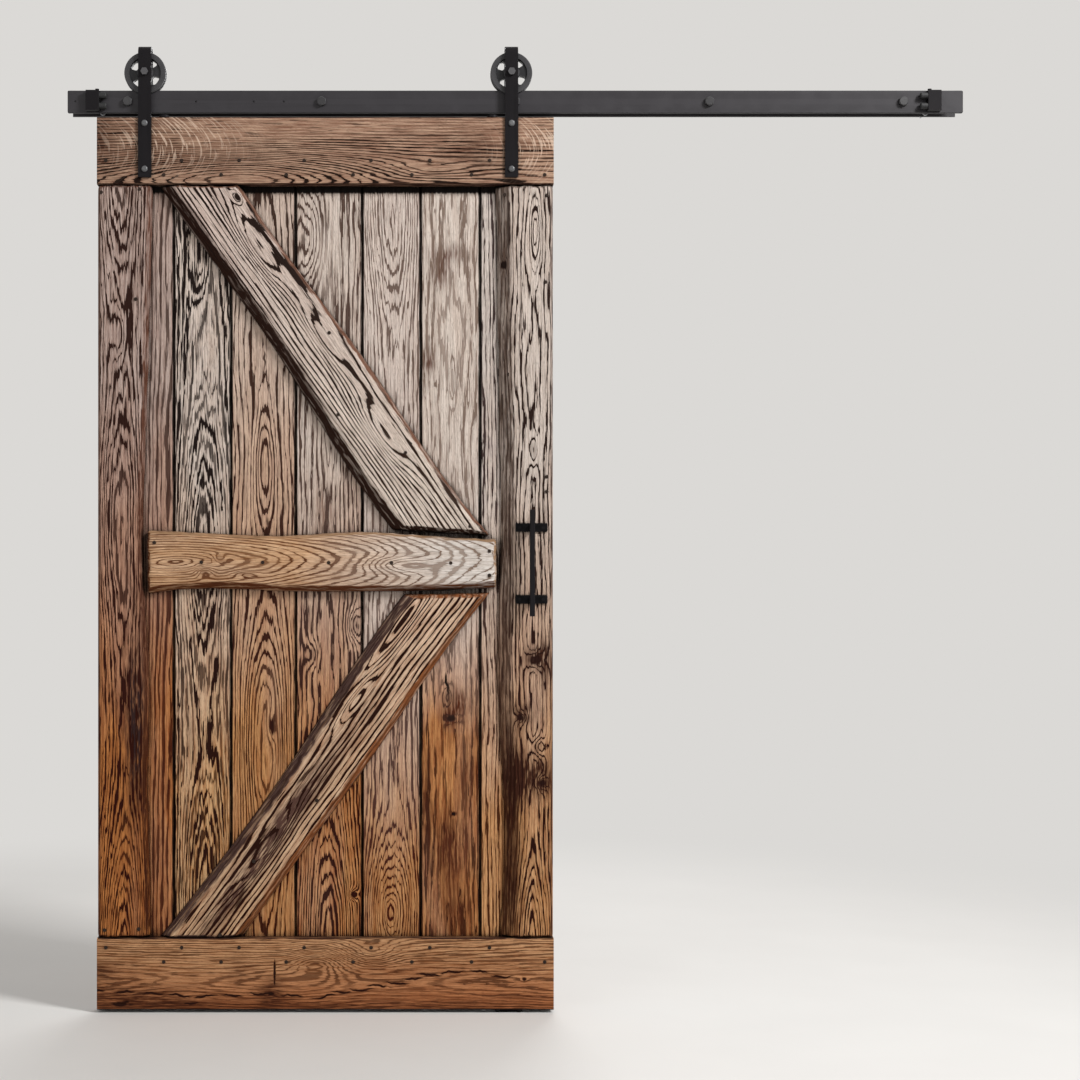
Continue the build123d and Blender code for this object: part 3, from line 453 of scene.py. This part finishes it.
class Board:
    """A board's own axes in its material, and what is placed along them."""

    def __init__(self, tree, where, name, turn, seed):
        low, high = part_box(name)
        self.tree = tree
        self.seed = seed
        self.angle = math.radians(turn)
        self.middle = ((low[0] + high[0]) / 2, board_face, (low[2] + high[2]) / 2)
        inputs = {"Vector": where, "Location": self.middle, "Rotation": (0, self.angle, 0)}
        turned = node(tree, "ShaderNodeMapping", inputs, vector_type="TEXTURE").outputs[0]
        self.across, self.depth, self.along = node(tree, "ShaderNodeSeparateXYZ", {0: turned}).outputs
        self.fray = swing(tree, self.streaks(self.along, across=210.0, along=30.0, detail=2.0))

    def streaks(self, line, across, along, detail):
        """Noise drawn out along a line on the board."""
        place = node(self.tree, "ShaderNodeCombineXYZ", {
            0: calc(self.tree, "MULTIPLY", self.across, across),
            1: self.seed,
            2: calc(self.tree, "MULTIPLY", line, along),
        }).outputs[0]
        return noise(self.tree, place, scale=1.0, detail=detail)

    def oval(self, x, z, half_width, half_length, rise, dark=0.0, bent=None, figure=0.0, core=0.0):
        """Adds an oval, at a place on the door, to the figure and the core that are there already."""
        right, up = x - self.middle[0], z - self.middle[2]
        cosine, sine = math.cos(self.angle), math.sin(self.angle)
        return node(self.tree, "ShaderNodeGroup", {
            "Across": self.across if bent is None else bent, "Along": self.along, "Fray": self.fray,
            "Figure before": figure, "Core before": core,
            "Centre across": right * cosine - up * sine, "Centre along": right * sine + up * cosine,
            "Half width": half_width, "Half length": half_length, "Rise": rise, "Core": dark,
        }, node_tree=growth_eye).outputs

    def eyes(self, places, spacing):
        """Figure and core of all eyes. One that adds no rings is a crack, and runs crooked."""
        inputs = {"W": self.along, "Scale": 14.0, "Detail": 3.0}
        bends = node(self.tree, "ShaderNodeTexNoise", inputs, noise_dimensions="1D").outputs["Fac"]
        crooked = share(self.tree, swing(self.tree, bends), part=0.03, base=self.across)
        figure, core = 0.0, 0.0
        for x, z, half_width, half_length, rings, dark in places:
            bent = None if rings else crooked
            made = self.oval(x, z, half_width, half_length, rings * spacing, dark, bent, figure, core)
            figure, core = made["Figure"], made["Core"]
        return figure, core

    def patches(self, places):
        """Sum of soft spots on the board."""
        total = 0.0
        for place in places:
            total = self.oval(*place, figure=total)["Figure"]
        return total

    def ray_flecks(self, places):
        """Short pale flecks in arcs across the grain."""
        squared = calc(self.tree, "MULTIPLY", self.across, self.across)
        swept = share(self.tree, squared, part=9.0, base=self.along)
        fleck = self.streaks(swept, across=22.0, along=190.0, detail=2.0)
        fleck = ranged(self.tree, fleck, low=0.53, high=0.6)
        fleck = calc(self.tree, "MULTIPLY", fleck, self.patches(places))
        return calc(self.tree, "MINIMUM", fleck, 0.8)


def slope_mask(tree, facing, spot):
    """How far a face turns from the door's front. The door's own outer sides are left out."""
    margin = 0.002
    turned = ranged(tree, calc(tree, "ABSOLUTE", facing[1]), low=0.99, high=0.88)
    inside = calc(tree, "MULTIPLY", calc(tree, "GREATER_THAN", spot[0], door_sides[0] + margin),
                  calc(tree, "LESS_THAN", spot[0], door_sides[1] - margin))
    return calc(tree, "MULTIPLY", turned, inside)


def painted_shade_mask(tree, board, facing, spot, shade):
    """Painted shade in closed-in corners, and a painted shadow on the front above the shade's height."""
    corner_reach = 0.022
    # Painted shade: corners and creases that ambient occlusion finds closed in are darkened.
    corners = node(tree, "ShaderNodeAmbientOcclusion", {"Distance": corner_reach}, samples=4).outputs["AO"]
    corners = share(tree, board.fray, part=0.25, base=corners)
    painted_shade = ranged(tree, corners, low=0.82, high=0.42, first=0.0, last=0.9)
    if shade is None:
        return painted_shade
    painted_shadow_fade = 0.005
    # Painted shadow: a dark band on the front above the shade's height, where the overlying board would cast
    # its shadow.
    painted_shadow = ranged(tree, share(tree, board.fray, part=0.01, base=spot[2]), shade, shade + painted_shadow_fade)
    painted_shadow = calc(tree, "MULTIPLY", painted_shadow, calc(tree, "LESS_THAN", facing[1], -0.5))
    return calc(tree, "MAXIMUM", painted_shade, painted_shadow)


def oak(name, turn, tones, warm, seed, spacing, heart=0.0, depth=0.02, taper=0.01, wander=0.03, ragged=0.6,
        strength=1.0, width=0.24, eyes=(), stains=(), stain="#5f3820", edge="#3a2219", lit_edge="#3a2219",
        low_edge=None, edge_strength=1.1, warm_axis=2, shade=None, rays=(), quiet=()):
    """Oak for one board.

    The turn is in degrees from upright. The tones are pale, body and line, each aged grey and warm, and
    warm gives the two places between which one goes over into the other, up the door or along the warm
    axis. The seed moves all noise. The spacing is from ring to ring, the heart and depth are the log's
    centre across the board and behind its face, and the taper tilts it. Wander bends the rings, ragged
    frays them, and strength and width are those of their dark lines.
    An eye is its place on the door, half width and length, the rings that it adds and how dark its core
    is. A stain is its place, half width and length and depth. Rays are patches of pale flecks across the
    grain, and quiet ones have no dark lines, both given like stains.
    The edge tones are those of slopes and sides that turn to the left or down, and to the right or up:
    partly the board's own tone at its live edges and joints, partly painted shade, and their difference is
    painted light and shade from the lamp on the right. The low edge is that of both where the board is warm.
    The edge strength says how much of it covers the wood. The shade is the height above which the front is
    painted dark as the shadow of an overlying board, and corners everywhere get painted shade.
    """
    material, tree, shader, where = new_material(name.replace("_", " ") + " oak")
    spot = node(tree, "ShaderNodeSeparateXYZ", {0: where}).outputs
    normal = node(tree, "ShaderNodeNewGeometry").outputs["Normal"]
    facing = node(tree, "ShaderNodeSeparateXYZ", {0: normal}).outputs
    board = Board(tree, where, name, turn, seed)
    figure, core = board.eyes(eyes, spacing)
    mottle = board.streaks(board.along, across=14.0, along=2.2, detail=4.0)

    stained = board.patches(stains)
    if stains:
        torn = ranged(tree, calc(tree, "ADD", mottle, board.fray), low=0.25, high=0.6, first=0.3)
        stained = calc(tree, "MULTIPLY", stained, torn)
    if quiet:
        loud = ranged(tree, board.patches(quiet), low=0.2, high=0.9, first=1.0, last=0.0)
        strength = calc(tree, "MULTIPLY", loud, strength)
    aged = ranged(tree, spot[warm_axis], warm[0], warm[1], smooth="LINEAR")
    aged = clamped(tree, calc(tree, "ADD", aged, share(tree, mottle, part=0.7, base=-0.35)))
    # Painted light and shade: slopes that turn right or up, towards the lamp, take the lit edge tone, and
    # those that turn left or down take the darker edge tone.
    lit_side = ranged(tree, share(tree, facing[2], part=0.5, base=facing[0]), low=-0.1, high=0.15)
    edge_tone = blend(tree, lit_side, tone(edge), tone(lit_edge))
    if low_edge:
        edge_tone = blend(tree, aged, edge_tone, tone(low_edge))
    pale, body, line = (blend(tree, aged, tone(grey), tone(brown)) for grey, brown in tones)

    wood = node(tree, "ShaderNodeGroup", {
        "Across": board.across, "Along": board.along, "Depth": board.depth, "Seed": seed,
        "Figure": figure, "Core": core, "Heart": heart, "Heart depth": depth, "Taper": taper,
        "Wander": wander, "Raggedness": ragged, "Line spacing": spacing, "Line strength": strength,
        "Line width": width, "Pale": pale, "Body": body, "Line": line,
        "Stain": stained, "Stain colour": tone(stain), "Edge colour": edge_tone,
        "Edge": calc(tree, "MULTIPLY", slope_mask(tree, facing, spot), edge_strength),
    }, node_tree=brushed_oak).outputs
    colour = wood["Color"]
    if rays:
        colour = blend(tree, board.ray_flecks(rays), colour, ray_tone)
    # Painted shade: the colour is darkened in corners and in the painted shadow band.
    painted_shade = painted_shade_mask(tree, board, facing, spot, shade)
    fill(tree, shader, {
        "Base Color": blend(tree, painted_shade, colour, painted_shade_tone),
        "Roughness": wood["Roughness"],
        "Normal": bump(tree, wood["Height"], strength=1.0, distance=0.002),
        "Specular IOR Level": 0.1,
    })
    return material


plank_figures = {
    "plank_1": dict(
        tones=(("#bea99f", "#c2834f"), ("#937b70", "#86451c"), ("#3f2d26", "#3a1003")), warm=(-0.65, -1.35),
        seed=2.0, spacing=0.006, heart=0.10, depth=0.05, wander=0.015, ragged=0.35, strength=0.8,
        width=0.18,
    ),
    "plank_2": dict(
        tones=(("#d8c9be", "#d4ab7e"), ("#bba89b", "#a26a3a"), ("#1a100d", "#250a02")), warm=(-0.8, -1.55),
        seed=7.0, spacing=0.0085, depth=0.02, ragged=0.8, width=0.27,
        eyes=((-0.699, -1.02, 0.055, 0.26, -7.0, 0.0), (-0.692, -1.75, 0.055, 0.24, -7.0, 0.0),
              (-0.707, -0.33, 0.02, 0.12, 4.0, 0.0), (-0.698, -0.905, 0.007, 0.03, 0.0, 0.95),
              (-0.72, -0.40, 0.008, 0.04, 0.0, 0.8)),
    ),
    "plank_3": dict(
        tones=(("#d3c0b2", "#c89462"), ("#b8a294", "#9c6236"), ("#3c2a22", "#340f02")), warm=(-0.4, -1.45),
        seed=11.0, spacing=0.0075, depth=0.03, ragged=0.4, width=0.18,
        eyes=((-0.561, -0.815, 0.022, 0.13, -4.0, 0.0), (-0.556, -1.45, 0.05, 0.26, -7.0, 0.0),
              (-0.560, -0.575, 0.0045, 0.035, 0.0, 0.9), (-0.552, -0.95, 0.007, 0.04, 0.0, 0.9),
              (-0.545, -1.395, 0.010, 0.034, 1.5, 1.4)),
    ),
    "plank_4": dict(
        tones=(("#d4c6bb", "#c68e5a"), ("#b6a498", "#8a471b"), ("#54423a", "#2c0800")), warm=(-0.75, -1.5),
        seed=17.0, spacing=0.0085, heart=-0.012, depth=0.02, ragged=0.55, width=0.22,
        eyes=((-0.462, -0.30, 0.035, 0.10, 5.0, 0.0), (-0.476, -0.31, 0.009, 0.035, 0.0, 0.8),
              (-0.415, -0.72, 0.02, 0.14, -3.0, 0.0), (-0.359, -1.17, 0.02, 0.035, 3.0, 0.3),
              (-0.455, -1.235, 0.018, 0.03, 2.0, 0.35), (-0.413, -1.86, 0.055, 0.22, -7.0, 0.0),
              (-0.361, -1.773, 0.011, 0.012, 3.0, 1.2)),
        stains=((-0.43, -0.92, 0.02, 0.06, 0.9), (-0.43, -0.50, 0.03, 0.05, 0.8)),
        quiet=((-0.42, -0.36, 0.04, 0.13, 0.7), (-0.41, -0.60, 0.03, 0.08, 0.6)),
    ),
    "plank_5": dict(
        tones=(("#d4c6bc", "#c99563"), ("#beaba0", "#8e542b"), ("#6b5950", "#40160a")), warm=(-1.0, -1.75),
        seed=23.0, spacing=0.0078, depth=0.022, ragged=0.6, width=0.19,
        eyes=((-0.276, -0.15, 0.055, 0.36, -8.0, 0.0), (-0.278, -1.811, 0.05, 0.14, -7.0, 0.0),
              (-0.280, -1.811, 0.012, 0.035, -2.0, 0.0)),
    ),
    "plank_6": dict(
        tones=(("#d8cbc0", "#c48a56"), ("#baa89c", "#854723"), ("#6c584c", "#2c0c02")), warm=(-1.1, -1.42),
        seed=29.0, spacing=0.009, depth=0.03, ragged=0.7, strength=0.75, width=0.16,
        eyes=((-0.150, -1.33, 0.012, 0.03, 3.0, 0.5), (-0.144, -1.378, 0.021, 0.013, 2.0, 1.6),
              (-0.137, -1.592, 0.0075, 0.0075, 1.0, 1.9), (-0.150, -1.305, 0.005, 0.04, 0.0, 2.0),
              (-0.14, -0.62, 0.006, 0.05, -2.0, 0.5)),
        stains=((-0.166, -0.375, 0.022, 0.032, 1.3), (-0.15, -0.335, 0.045, 0.02, 0.9),
                (-0.196, -0.575, 0.018, 0.03, 1.2), (-0.125, -1.345, 0.03, 0.035, 1.3),
                (-0.145, -1.378, 0.02, 0.02, 1.4), (-0.108, -1.487, 0.02, 0.08, 0.9),
                (-0.145, -1.66, 0.035, 0.07, 1.4), (-0.20, -1.62, 0.012, 0.15, 1.0),
                (-0.14, -1.80, 0.04, 0.08, 0.8)),
        stain="#4e2412",
    ),
    "plank_7": dict(
        tones=(("#d3c7be", "#cf9c6c"), ("#b3a59c", "#a66e42"), ("#3a2d2b", "#44200a")), warm=(-0.9, -1.6),
        seed=31.0, spacing=0.006, heart=-0.12, depth=0.05, wander=0.015, width=0.19,
        stains=((-0.058, -0.77, 0.02, 0.02, 0.5),), stain="#8c7c7c",
    ),
}
joint_tone = "#160c08"
# Painted shadow: the planks' fronts are darkened above this height, just under the top board.
painted_shadow_height = -0.204
for name, figure in plank_figures.items():
    made = oak(name, turn=0, edge=joint_tone, lit_edge=joint_tone, shade=painted_shadow_height, **figure)
    finish_nodes(made, name)

# Top board: a thick plain-sawn oak board nailed across the planks and bolted to the hangers. It is
# brown, with nested arches low in its middle and pale rays where the saw ran towards the log's heart.
finish_nodes(oak(
    "top_board", turn=90, warm=(0.0, -3.0),
    tones=(("#b99880", "#b99880"), ("#785240", "#785240"), ("#180903", "#180903")),
    seed=3.0, spacing=0.007, heart=0.075, depth=0.03, taper=0.02, wander=0.02, ragged=0.35, width=0.18,
    eyes=((-0.60, -0.172, 0.055, 0.26, -9.0, 0.0), (-0.19, -0.155, 0.02, 0.10, 3.0, 0.0)),
    stains=((-0.93, -0.11, 0.08, 0.04, 1.0), (-0.80, -0.10, 0.07, 0.07, 0.6),
            (-0.09, -0.105, 0.04, 0.05, 0.9)),
    stain="#4a2a1c",
    rays=((-0.765, -0.08, 0.06, 0.12, 1.1), (0.05, -0.095, 0.06, 0.07, 1.1)),
    quiet=((-0.72, -0.07, 0.045, 0.17, 0.9), (-0.38, -0.055, 0.035, 0.30, 0.9),
           (0.0, -0.07, 0.05, 0.12, 0.8)),
), "top_board")

# Bottom board: the same make as the top one, nailed across the planks' lower ends. It is darker and
# redder along its lower edge, with fine swirling grain, a short upright crack and a long bent one.
bent_crack = ((-0.93, -1.983), (-0.87, -1.986), (-0.81, -1.989), (-0.75, -1.995), (-0.69, -1.998),
              (-0.63, -1.994), (-0.57, -1.991), (-0.50, -1.994), (-0.43, -1.996), (-0.385, -1.990),
              (-0.345, -1.983), (-0.305, -1.975), (-0.265, -1.966), (-0.23, -1.956), (-0.19, -1.946),
              (-0.14, -1.942), (-0.08, -1.942), (-0.03, -1.949))
finish_nodes(oak(
    "bottom_board", turn=90, warm=(-1.90, -2.03),
    tones=(("#c99a70", "#b46e42"), ("#905c37", "#743a1b"), ("#341406", "#240a02")),
    seed=5.0, spacing=0.0065, heart=0.02, depth=0.02, wander=0.055, ragged=0.6, width=0.17, strength=0.6,
    eyes=(*((x, z, 0.0042, 0.042, 0.0, 1.3) for x, z in bent_crack),
          (-0.537, -1.942, 0.045, 0.004, 0.0, 1.5),
          (-0.546, -1.991, 0.007, 0.012, 1.0, 1.4), (0.019, -1.958, 0.006, 0.009, 1.0, 1.3),
          (-0.88, -2.012, 0.007, 0.05, 0.0, 1.2), (-0.72, -2.010, 0.004, 0.03, 0.0, 1.0),
          (-0.444, -1.918, 0.036, 0.05, -5.0, 0.0), (-0.32, -1.90, 0.03, 0.05, 4.0, 0.0)),
    stains=((-0.84, -2.005, 0.028, 0.15, 1.3), (-0.35, -2.02, 0.02, 0.4, 0.8),
            (-0.546, -1.985, 0.03, 0.03, 1.2), (-0.93, -1.95, 0.04, 0.04, 0.8),
            (-0.62, -1.94, 0.03, 0.03, 0.7)),
    stain="#4a2410",
    quiet=((-0.30, -1.99, 0.04, 0.30, 0.6), (-0.75, -1.95, 0.04, 0.16, 0.5)),
), "bottom_board")


# Stiles, middle rail and braces: oak boards sawn through the log, with the bark side left on one or
# both edges, and nailed on the planks. The bark is off and the live edge is scraped round, so these
# are modelled as worn forms of the plain boards.
def select_only(piece):
    """Selects one piece and makes it the active one."""
    bpy.ops.object.select_all(action="DESELECT")
    piece.select_set(True)
    bpy.context.view_layer.objects.active = piece


def add_modifier(piece, kind, **settings):
    """Adds a modifier with its settings and applies it."""
    modifier = piece.modifiers.new(kind.lower(), kind)
    for key, value in settings.items():
        setattr(modifier, key, value)
    bpy.ops.object.modifier_apply(modifier=modifier.name)


def lumps(name, size):
    """Soft lumps as left by a scraper on a live edge."""
    texture = bpy.data.textures.new(name, "CLOUDS")
    texture.noise_scale = size
    texture.noise_depth = 1
    return texture


def held(value):
    """A number held between 0 and 1."""
    return max(0.0, min(1.0, value))


broad_lumps = lumps("broad lumps", 0.11)
small_lumps = lumps("small lumps", 0.022)
broad_height, small_height = 0.003, 0.006
merge_gap = 0.00005
voxel = 0.004
worn_front = 0.018
wear_fade = 0.006
flat_facing, slope_range = 0.97, 0.2


def worn_board(name):
    """A live-edged board with its edges worn round and its face and slopes slightly uneven."""
    board = nodes[name].copy()
    board.data = nodes[name].data.copy()
    board.name = f"{name}_worn"
    scene.collection.objects.link(board)
    select_only(board)
    bpy.ops.object.mode_set(mode="EDIT")
    bpy.ops.mesh.select_all(action="SELECT")
    bpy.ops.mesh.remove_doubles(threshold=merge_gap)
    bpy.ops.object.mode_set(mode="OBJECT")
    add_modifier(board, "REMESH", mode="VOXEL", voxel_size=voxel, adaptivity=0.0)
    add_modifier(board, "SMOOTH", factor=0.5, iterations=7)
    front = board.vertex_groups.new(name="front")
    slopes = board.vertex_groups.new(name="slopes")
    back_of_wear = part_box(name)[0][1] + worn_front
    for vertex in board.data.vertices:
        x, y, z = vertex.co
        from_side = min(x - door_sides[0], door_sides[1] - x)
        worn = held(min((back_of_wear - y) / wear_fade, from_side / wear_fade - 0.5))
        tilt = held((flat_facing - abs(vertex.normal.y)) / slope_range)
        front.add([vertex.index], worn, "REPLACE")
        slopes.add([vertex.index], tilt * worn, "REPLACE")
    add_modifier(board, "DISPLACE", texture=broad_lumps, strength=broad_height, mid_level=0.55,
                 texture_coords="LOCAL", vertex_group="front")
    add_modifier(board, "DISPLACE", texture=small_lumps, strength=small_height, mid_level=0.6,
                 texture_coords="LOCAL", vertex_group="slopes")
    add_modifier(board, "SMOOTH", factor=0.4, iterations=2)
    bpy.ops.object.shade_smooth()
    board.vertex_groups.clear()
    board.data.materials.clear()
    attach(board, "door")
    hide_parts(name)
    return board


# Left stile: an upright live-edged oak board nailed on the planks, straight outside and wavy inside.
# It is mauve brown above and orange brown below, with a dark streak low on its inner side.
worn_board("left_stile").data.materials.append(oak(
    "left_stile", turn=0, warm=(-0.6, -1.45),
    tones=(("#c1aba1", "#bf7c44"), ("#856a5e", "#733817"), ("#2a1610", "#2c0800")),
    seed=13.0, spacing=0.0072, depth=0.022, wander=0.03, ragged=0.7, width=0.2,
    eyes=((-0.888, -0.12, 0.045, 0.20, -5.0, 0.0), (-0.885, -0.95, 0.04, 0.2, -4.0, 0.0),
          (-0.88, -1.95, 0.055, 0.30, -9.0, 0.0), (-0.885, -0.52, 0.015, 0.06, 2.5, 0.0)),
    stains=((-0.846, -1.38, 0.024, 0.20, 1.7), (-0.845, -0.35, 0.03, 0.3, 0.25)), stain="#2e1c1a",
    edge="#6a4c3e", lit_edge="#5e3c2e", low_edge="#42200f", edge_strength=0.9,
))

# Right stile: an upright live-edged oak board nailed on the planks, which carries the handle. It is
# pale, with bold wavy lines and ovals, burls low down, and a broad dark bark side that is partly painted
# shade.
worn_board("right_stile").data.materials.append(oak(
    "right_stile", turn=0, warm=(-0.75, -1.6),
    tones=(("#d0c3b9", "#cc9a6a"), ("#af9d91", "#874f25"), ("#241510", "#240701")),
    seed=19.0, spacing=0.0088, heart=0.02, depth=0.012, wander=0.045, ragged=0.5, width=0.21, strength=1.1,
    eyes=((0.044, -0.29, 0.012, 0.075, -3.5, 0.0), (0.040, -0.78, 0.012, 0.035, 2.5, 0.3),
          (0.044, -1.247, 0.022, 0.02, 3.0, 1.1), (0.012, -1.375, 0.014, 0.014, 2.0, 1.3),
          (0.052, -1.44, 0.018, 0.022, 3.0, 0.3), (0.060, -1.52, 0.014, 0.016, 3.0, 1.3),
          (0.038, -1.875, 0.04, 0.13, -5.0, 0.0), (-0.026, -0.365, 0.010, 0.016, 1.0, 1.4)),
    stains=((0.046, -1.24, 0.03, 0.03, 1.2), (0.065, -1.26, 0.014, 0.07, 0.8),
            (0.018, -1.37, 0.03, 0.03, 1.2), (0.04, -1.52, 0.045, 0.035, 1.2),
            (-0.01, -1.50, 0.02, 0.10, 1.0), (-0.03, -0.36, 0.018, 0.05, 0.9),
            (-0.005, -1.73, 0.024, 0.2, 0.9), (0.03, -1.50, 0.05, 0.05, 1.2)),
    stain="#3c1e10", edge="#5e4a3f", low_edge="#3c1a0a", edge_strength=0.8,
))

# Middle rail: a live-edged oak board nailed across the planks between the stiles, with the rings of
# a tapering log. It is warm at its left end and bleached at its right.
worn_board("mid_rail").data.materials.append(oak(
    "mid_rail", turn=90, warm=(-0.12, -0.50), warm_axis=0,
    tones=(("#e2dad3", "#d8b08a"), ("#b8a99d", "#a1724b"), ("#7a6556", "#54290f")),
    seed=37.0, spacing=0.0052, depth=0.055, taper=0.17, wander=0.025, ragged=0.28, strength=0.8,
    width=0.17,
    eyes=((-0.692, -1.05, 0.014, 0.02, 3.0, 0.5), (-0.262, -1.035, 0.018, 0.075, 4.0, 0.0),
          (-0.66, -1.02, 0.01, 0.014, 2.0, 0.4), (-0.60, -1.055, 0.009, 0.03, 2.0, 0.3)),
    stains=((-0.66, -1.05, 0.03, 0.09, 0.5),), stain="#7c5235", edge="#5a2f17", lit_edge="#9a7a5c",
))

# Upper brace: a live-edged oak board nailed slantwise on the planks, from the top board down to the
# handle's side. It is beige with bold lines, and its lower left side is nearly black, partly its live
# edge's own tone and partly painted shade.
worn_board("upper_brace").data.materials.append(oak(
    "upper_brace", turn=-35, warm=(-0.3, -0.9),
    tones=(("#d6c4b9", "#dccdc0"), ("#b19a8e", "#baa99b"), ("#1e110c", "#33231b")),
    seed=41.0, spacing=0.0095, heart=0.075, depth=0.03, taper=0.03, wander=0.03, ragged=0.28, width=0.2,
    strength=1.3,
    eyes=((-0.575, -0.33, 0.024, 0.10, -3.5, 0.0), (-0.43, -0.53, 0.016, 0.09, -2.5, 0.0),
          (-0.30, -0.74, 0.024, 0.10, -3.5, 0.0), (-0.53, -0.275, 0.008, 0.02, 0.0, 0.8),
          (-0.62, -0.215, 0.009, 0.016, 2.5, 1.3), (-0.44, -0.47, 0.006, 0.025, 0.0, 0.8)),
    stains=((-0.626, -0.396, 0.010, 0.28, 1.8),), stain="#3a231a",
    edge="#2a150c", lit_edge="#6f4c3b", edge_strength=1.5,
))

# Lower brace: the same make, nailed from the bottom board up to the handle's side. It is browner, as
# dark as bark along its upper side, from a stain and painted shade, and orange brown along its lower one,
# partly painted light.
worn_board("lower_brace").data.materials.append(oak(
    "lower_brace", turn=36, warm=(-1.1, -1.9),
    tones=(("#e0c4ab", "#d6b28c"), ("#a67d61", "#9c6d4c"), ("#220c04", "#250a02")),
    seed=43.0, spacing=0.0105, heart=-0.05, depth=0.02, taper=0.03, wander=0.03, ragged=0.3, width=0.22,
    strength=1.3,
    eyes=((-0.25, -1.16, 0.02, 0.13, -4.0, 0.0), (-0.36, -1.34, 0.014, 0.08, 3.0, 0.0),
          (-0.47, -1.50, 0.007, 0.05, 0.0, 0.9), (-0.55, -1.66, 0.016, 0.10, -3.0, 0.0),
          (-0.615, -1.78, 0.008, 0.04, 0.0, 0.85)),
    stains=((-0.556, -1.662, 0.025, 0.27, 1.9),), stain="#553b32",
    edge="#543e38", lit_edge="#86502e", edge_strength=1.3,
))

# Nails: forged iron with small dark heads, driven through each board into the planks. Heads and
# shanks are a little rusty.
iron, tree, shader, where = new_material("nail iron")
rust = noise(tree, where, scale=240.0, detail=5.0)
fill(tree, shader, {
    "Base Color": blend(tree, rust, tone("#1a1512"), tone("#3a2a20")),
    "Metallic": 0.6,
    "Roughness": share(tree, rust, part=0.3, base=0.4),
})
nailed_boards = ("top_board", "bottom_board", "left_stile", "right_stile", "mid_rail", "upper_brace",
                 "lower_brace")
for name in nailed_boards:
    finish_nodes(iron, f"{name}_nails")

# Handle: a square steel bar on two plates with short posts, screwed to the right stile and finished
# in the same dull black as the hangers.
finish_nodes(fitting_black, "handle_bar", "handle_upper_bracket", "handle_lower_bracket", "handle_screws")
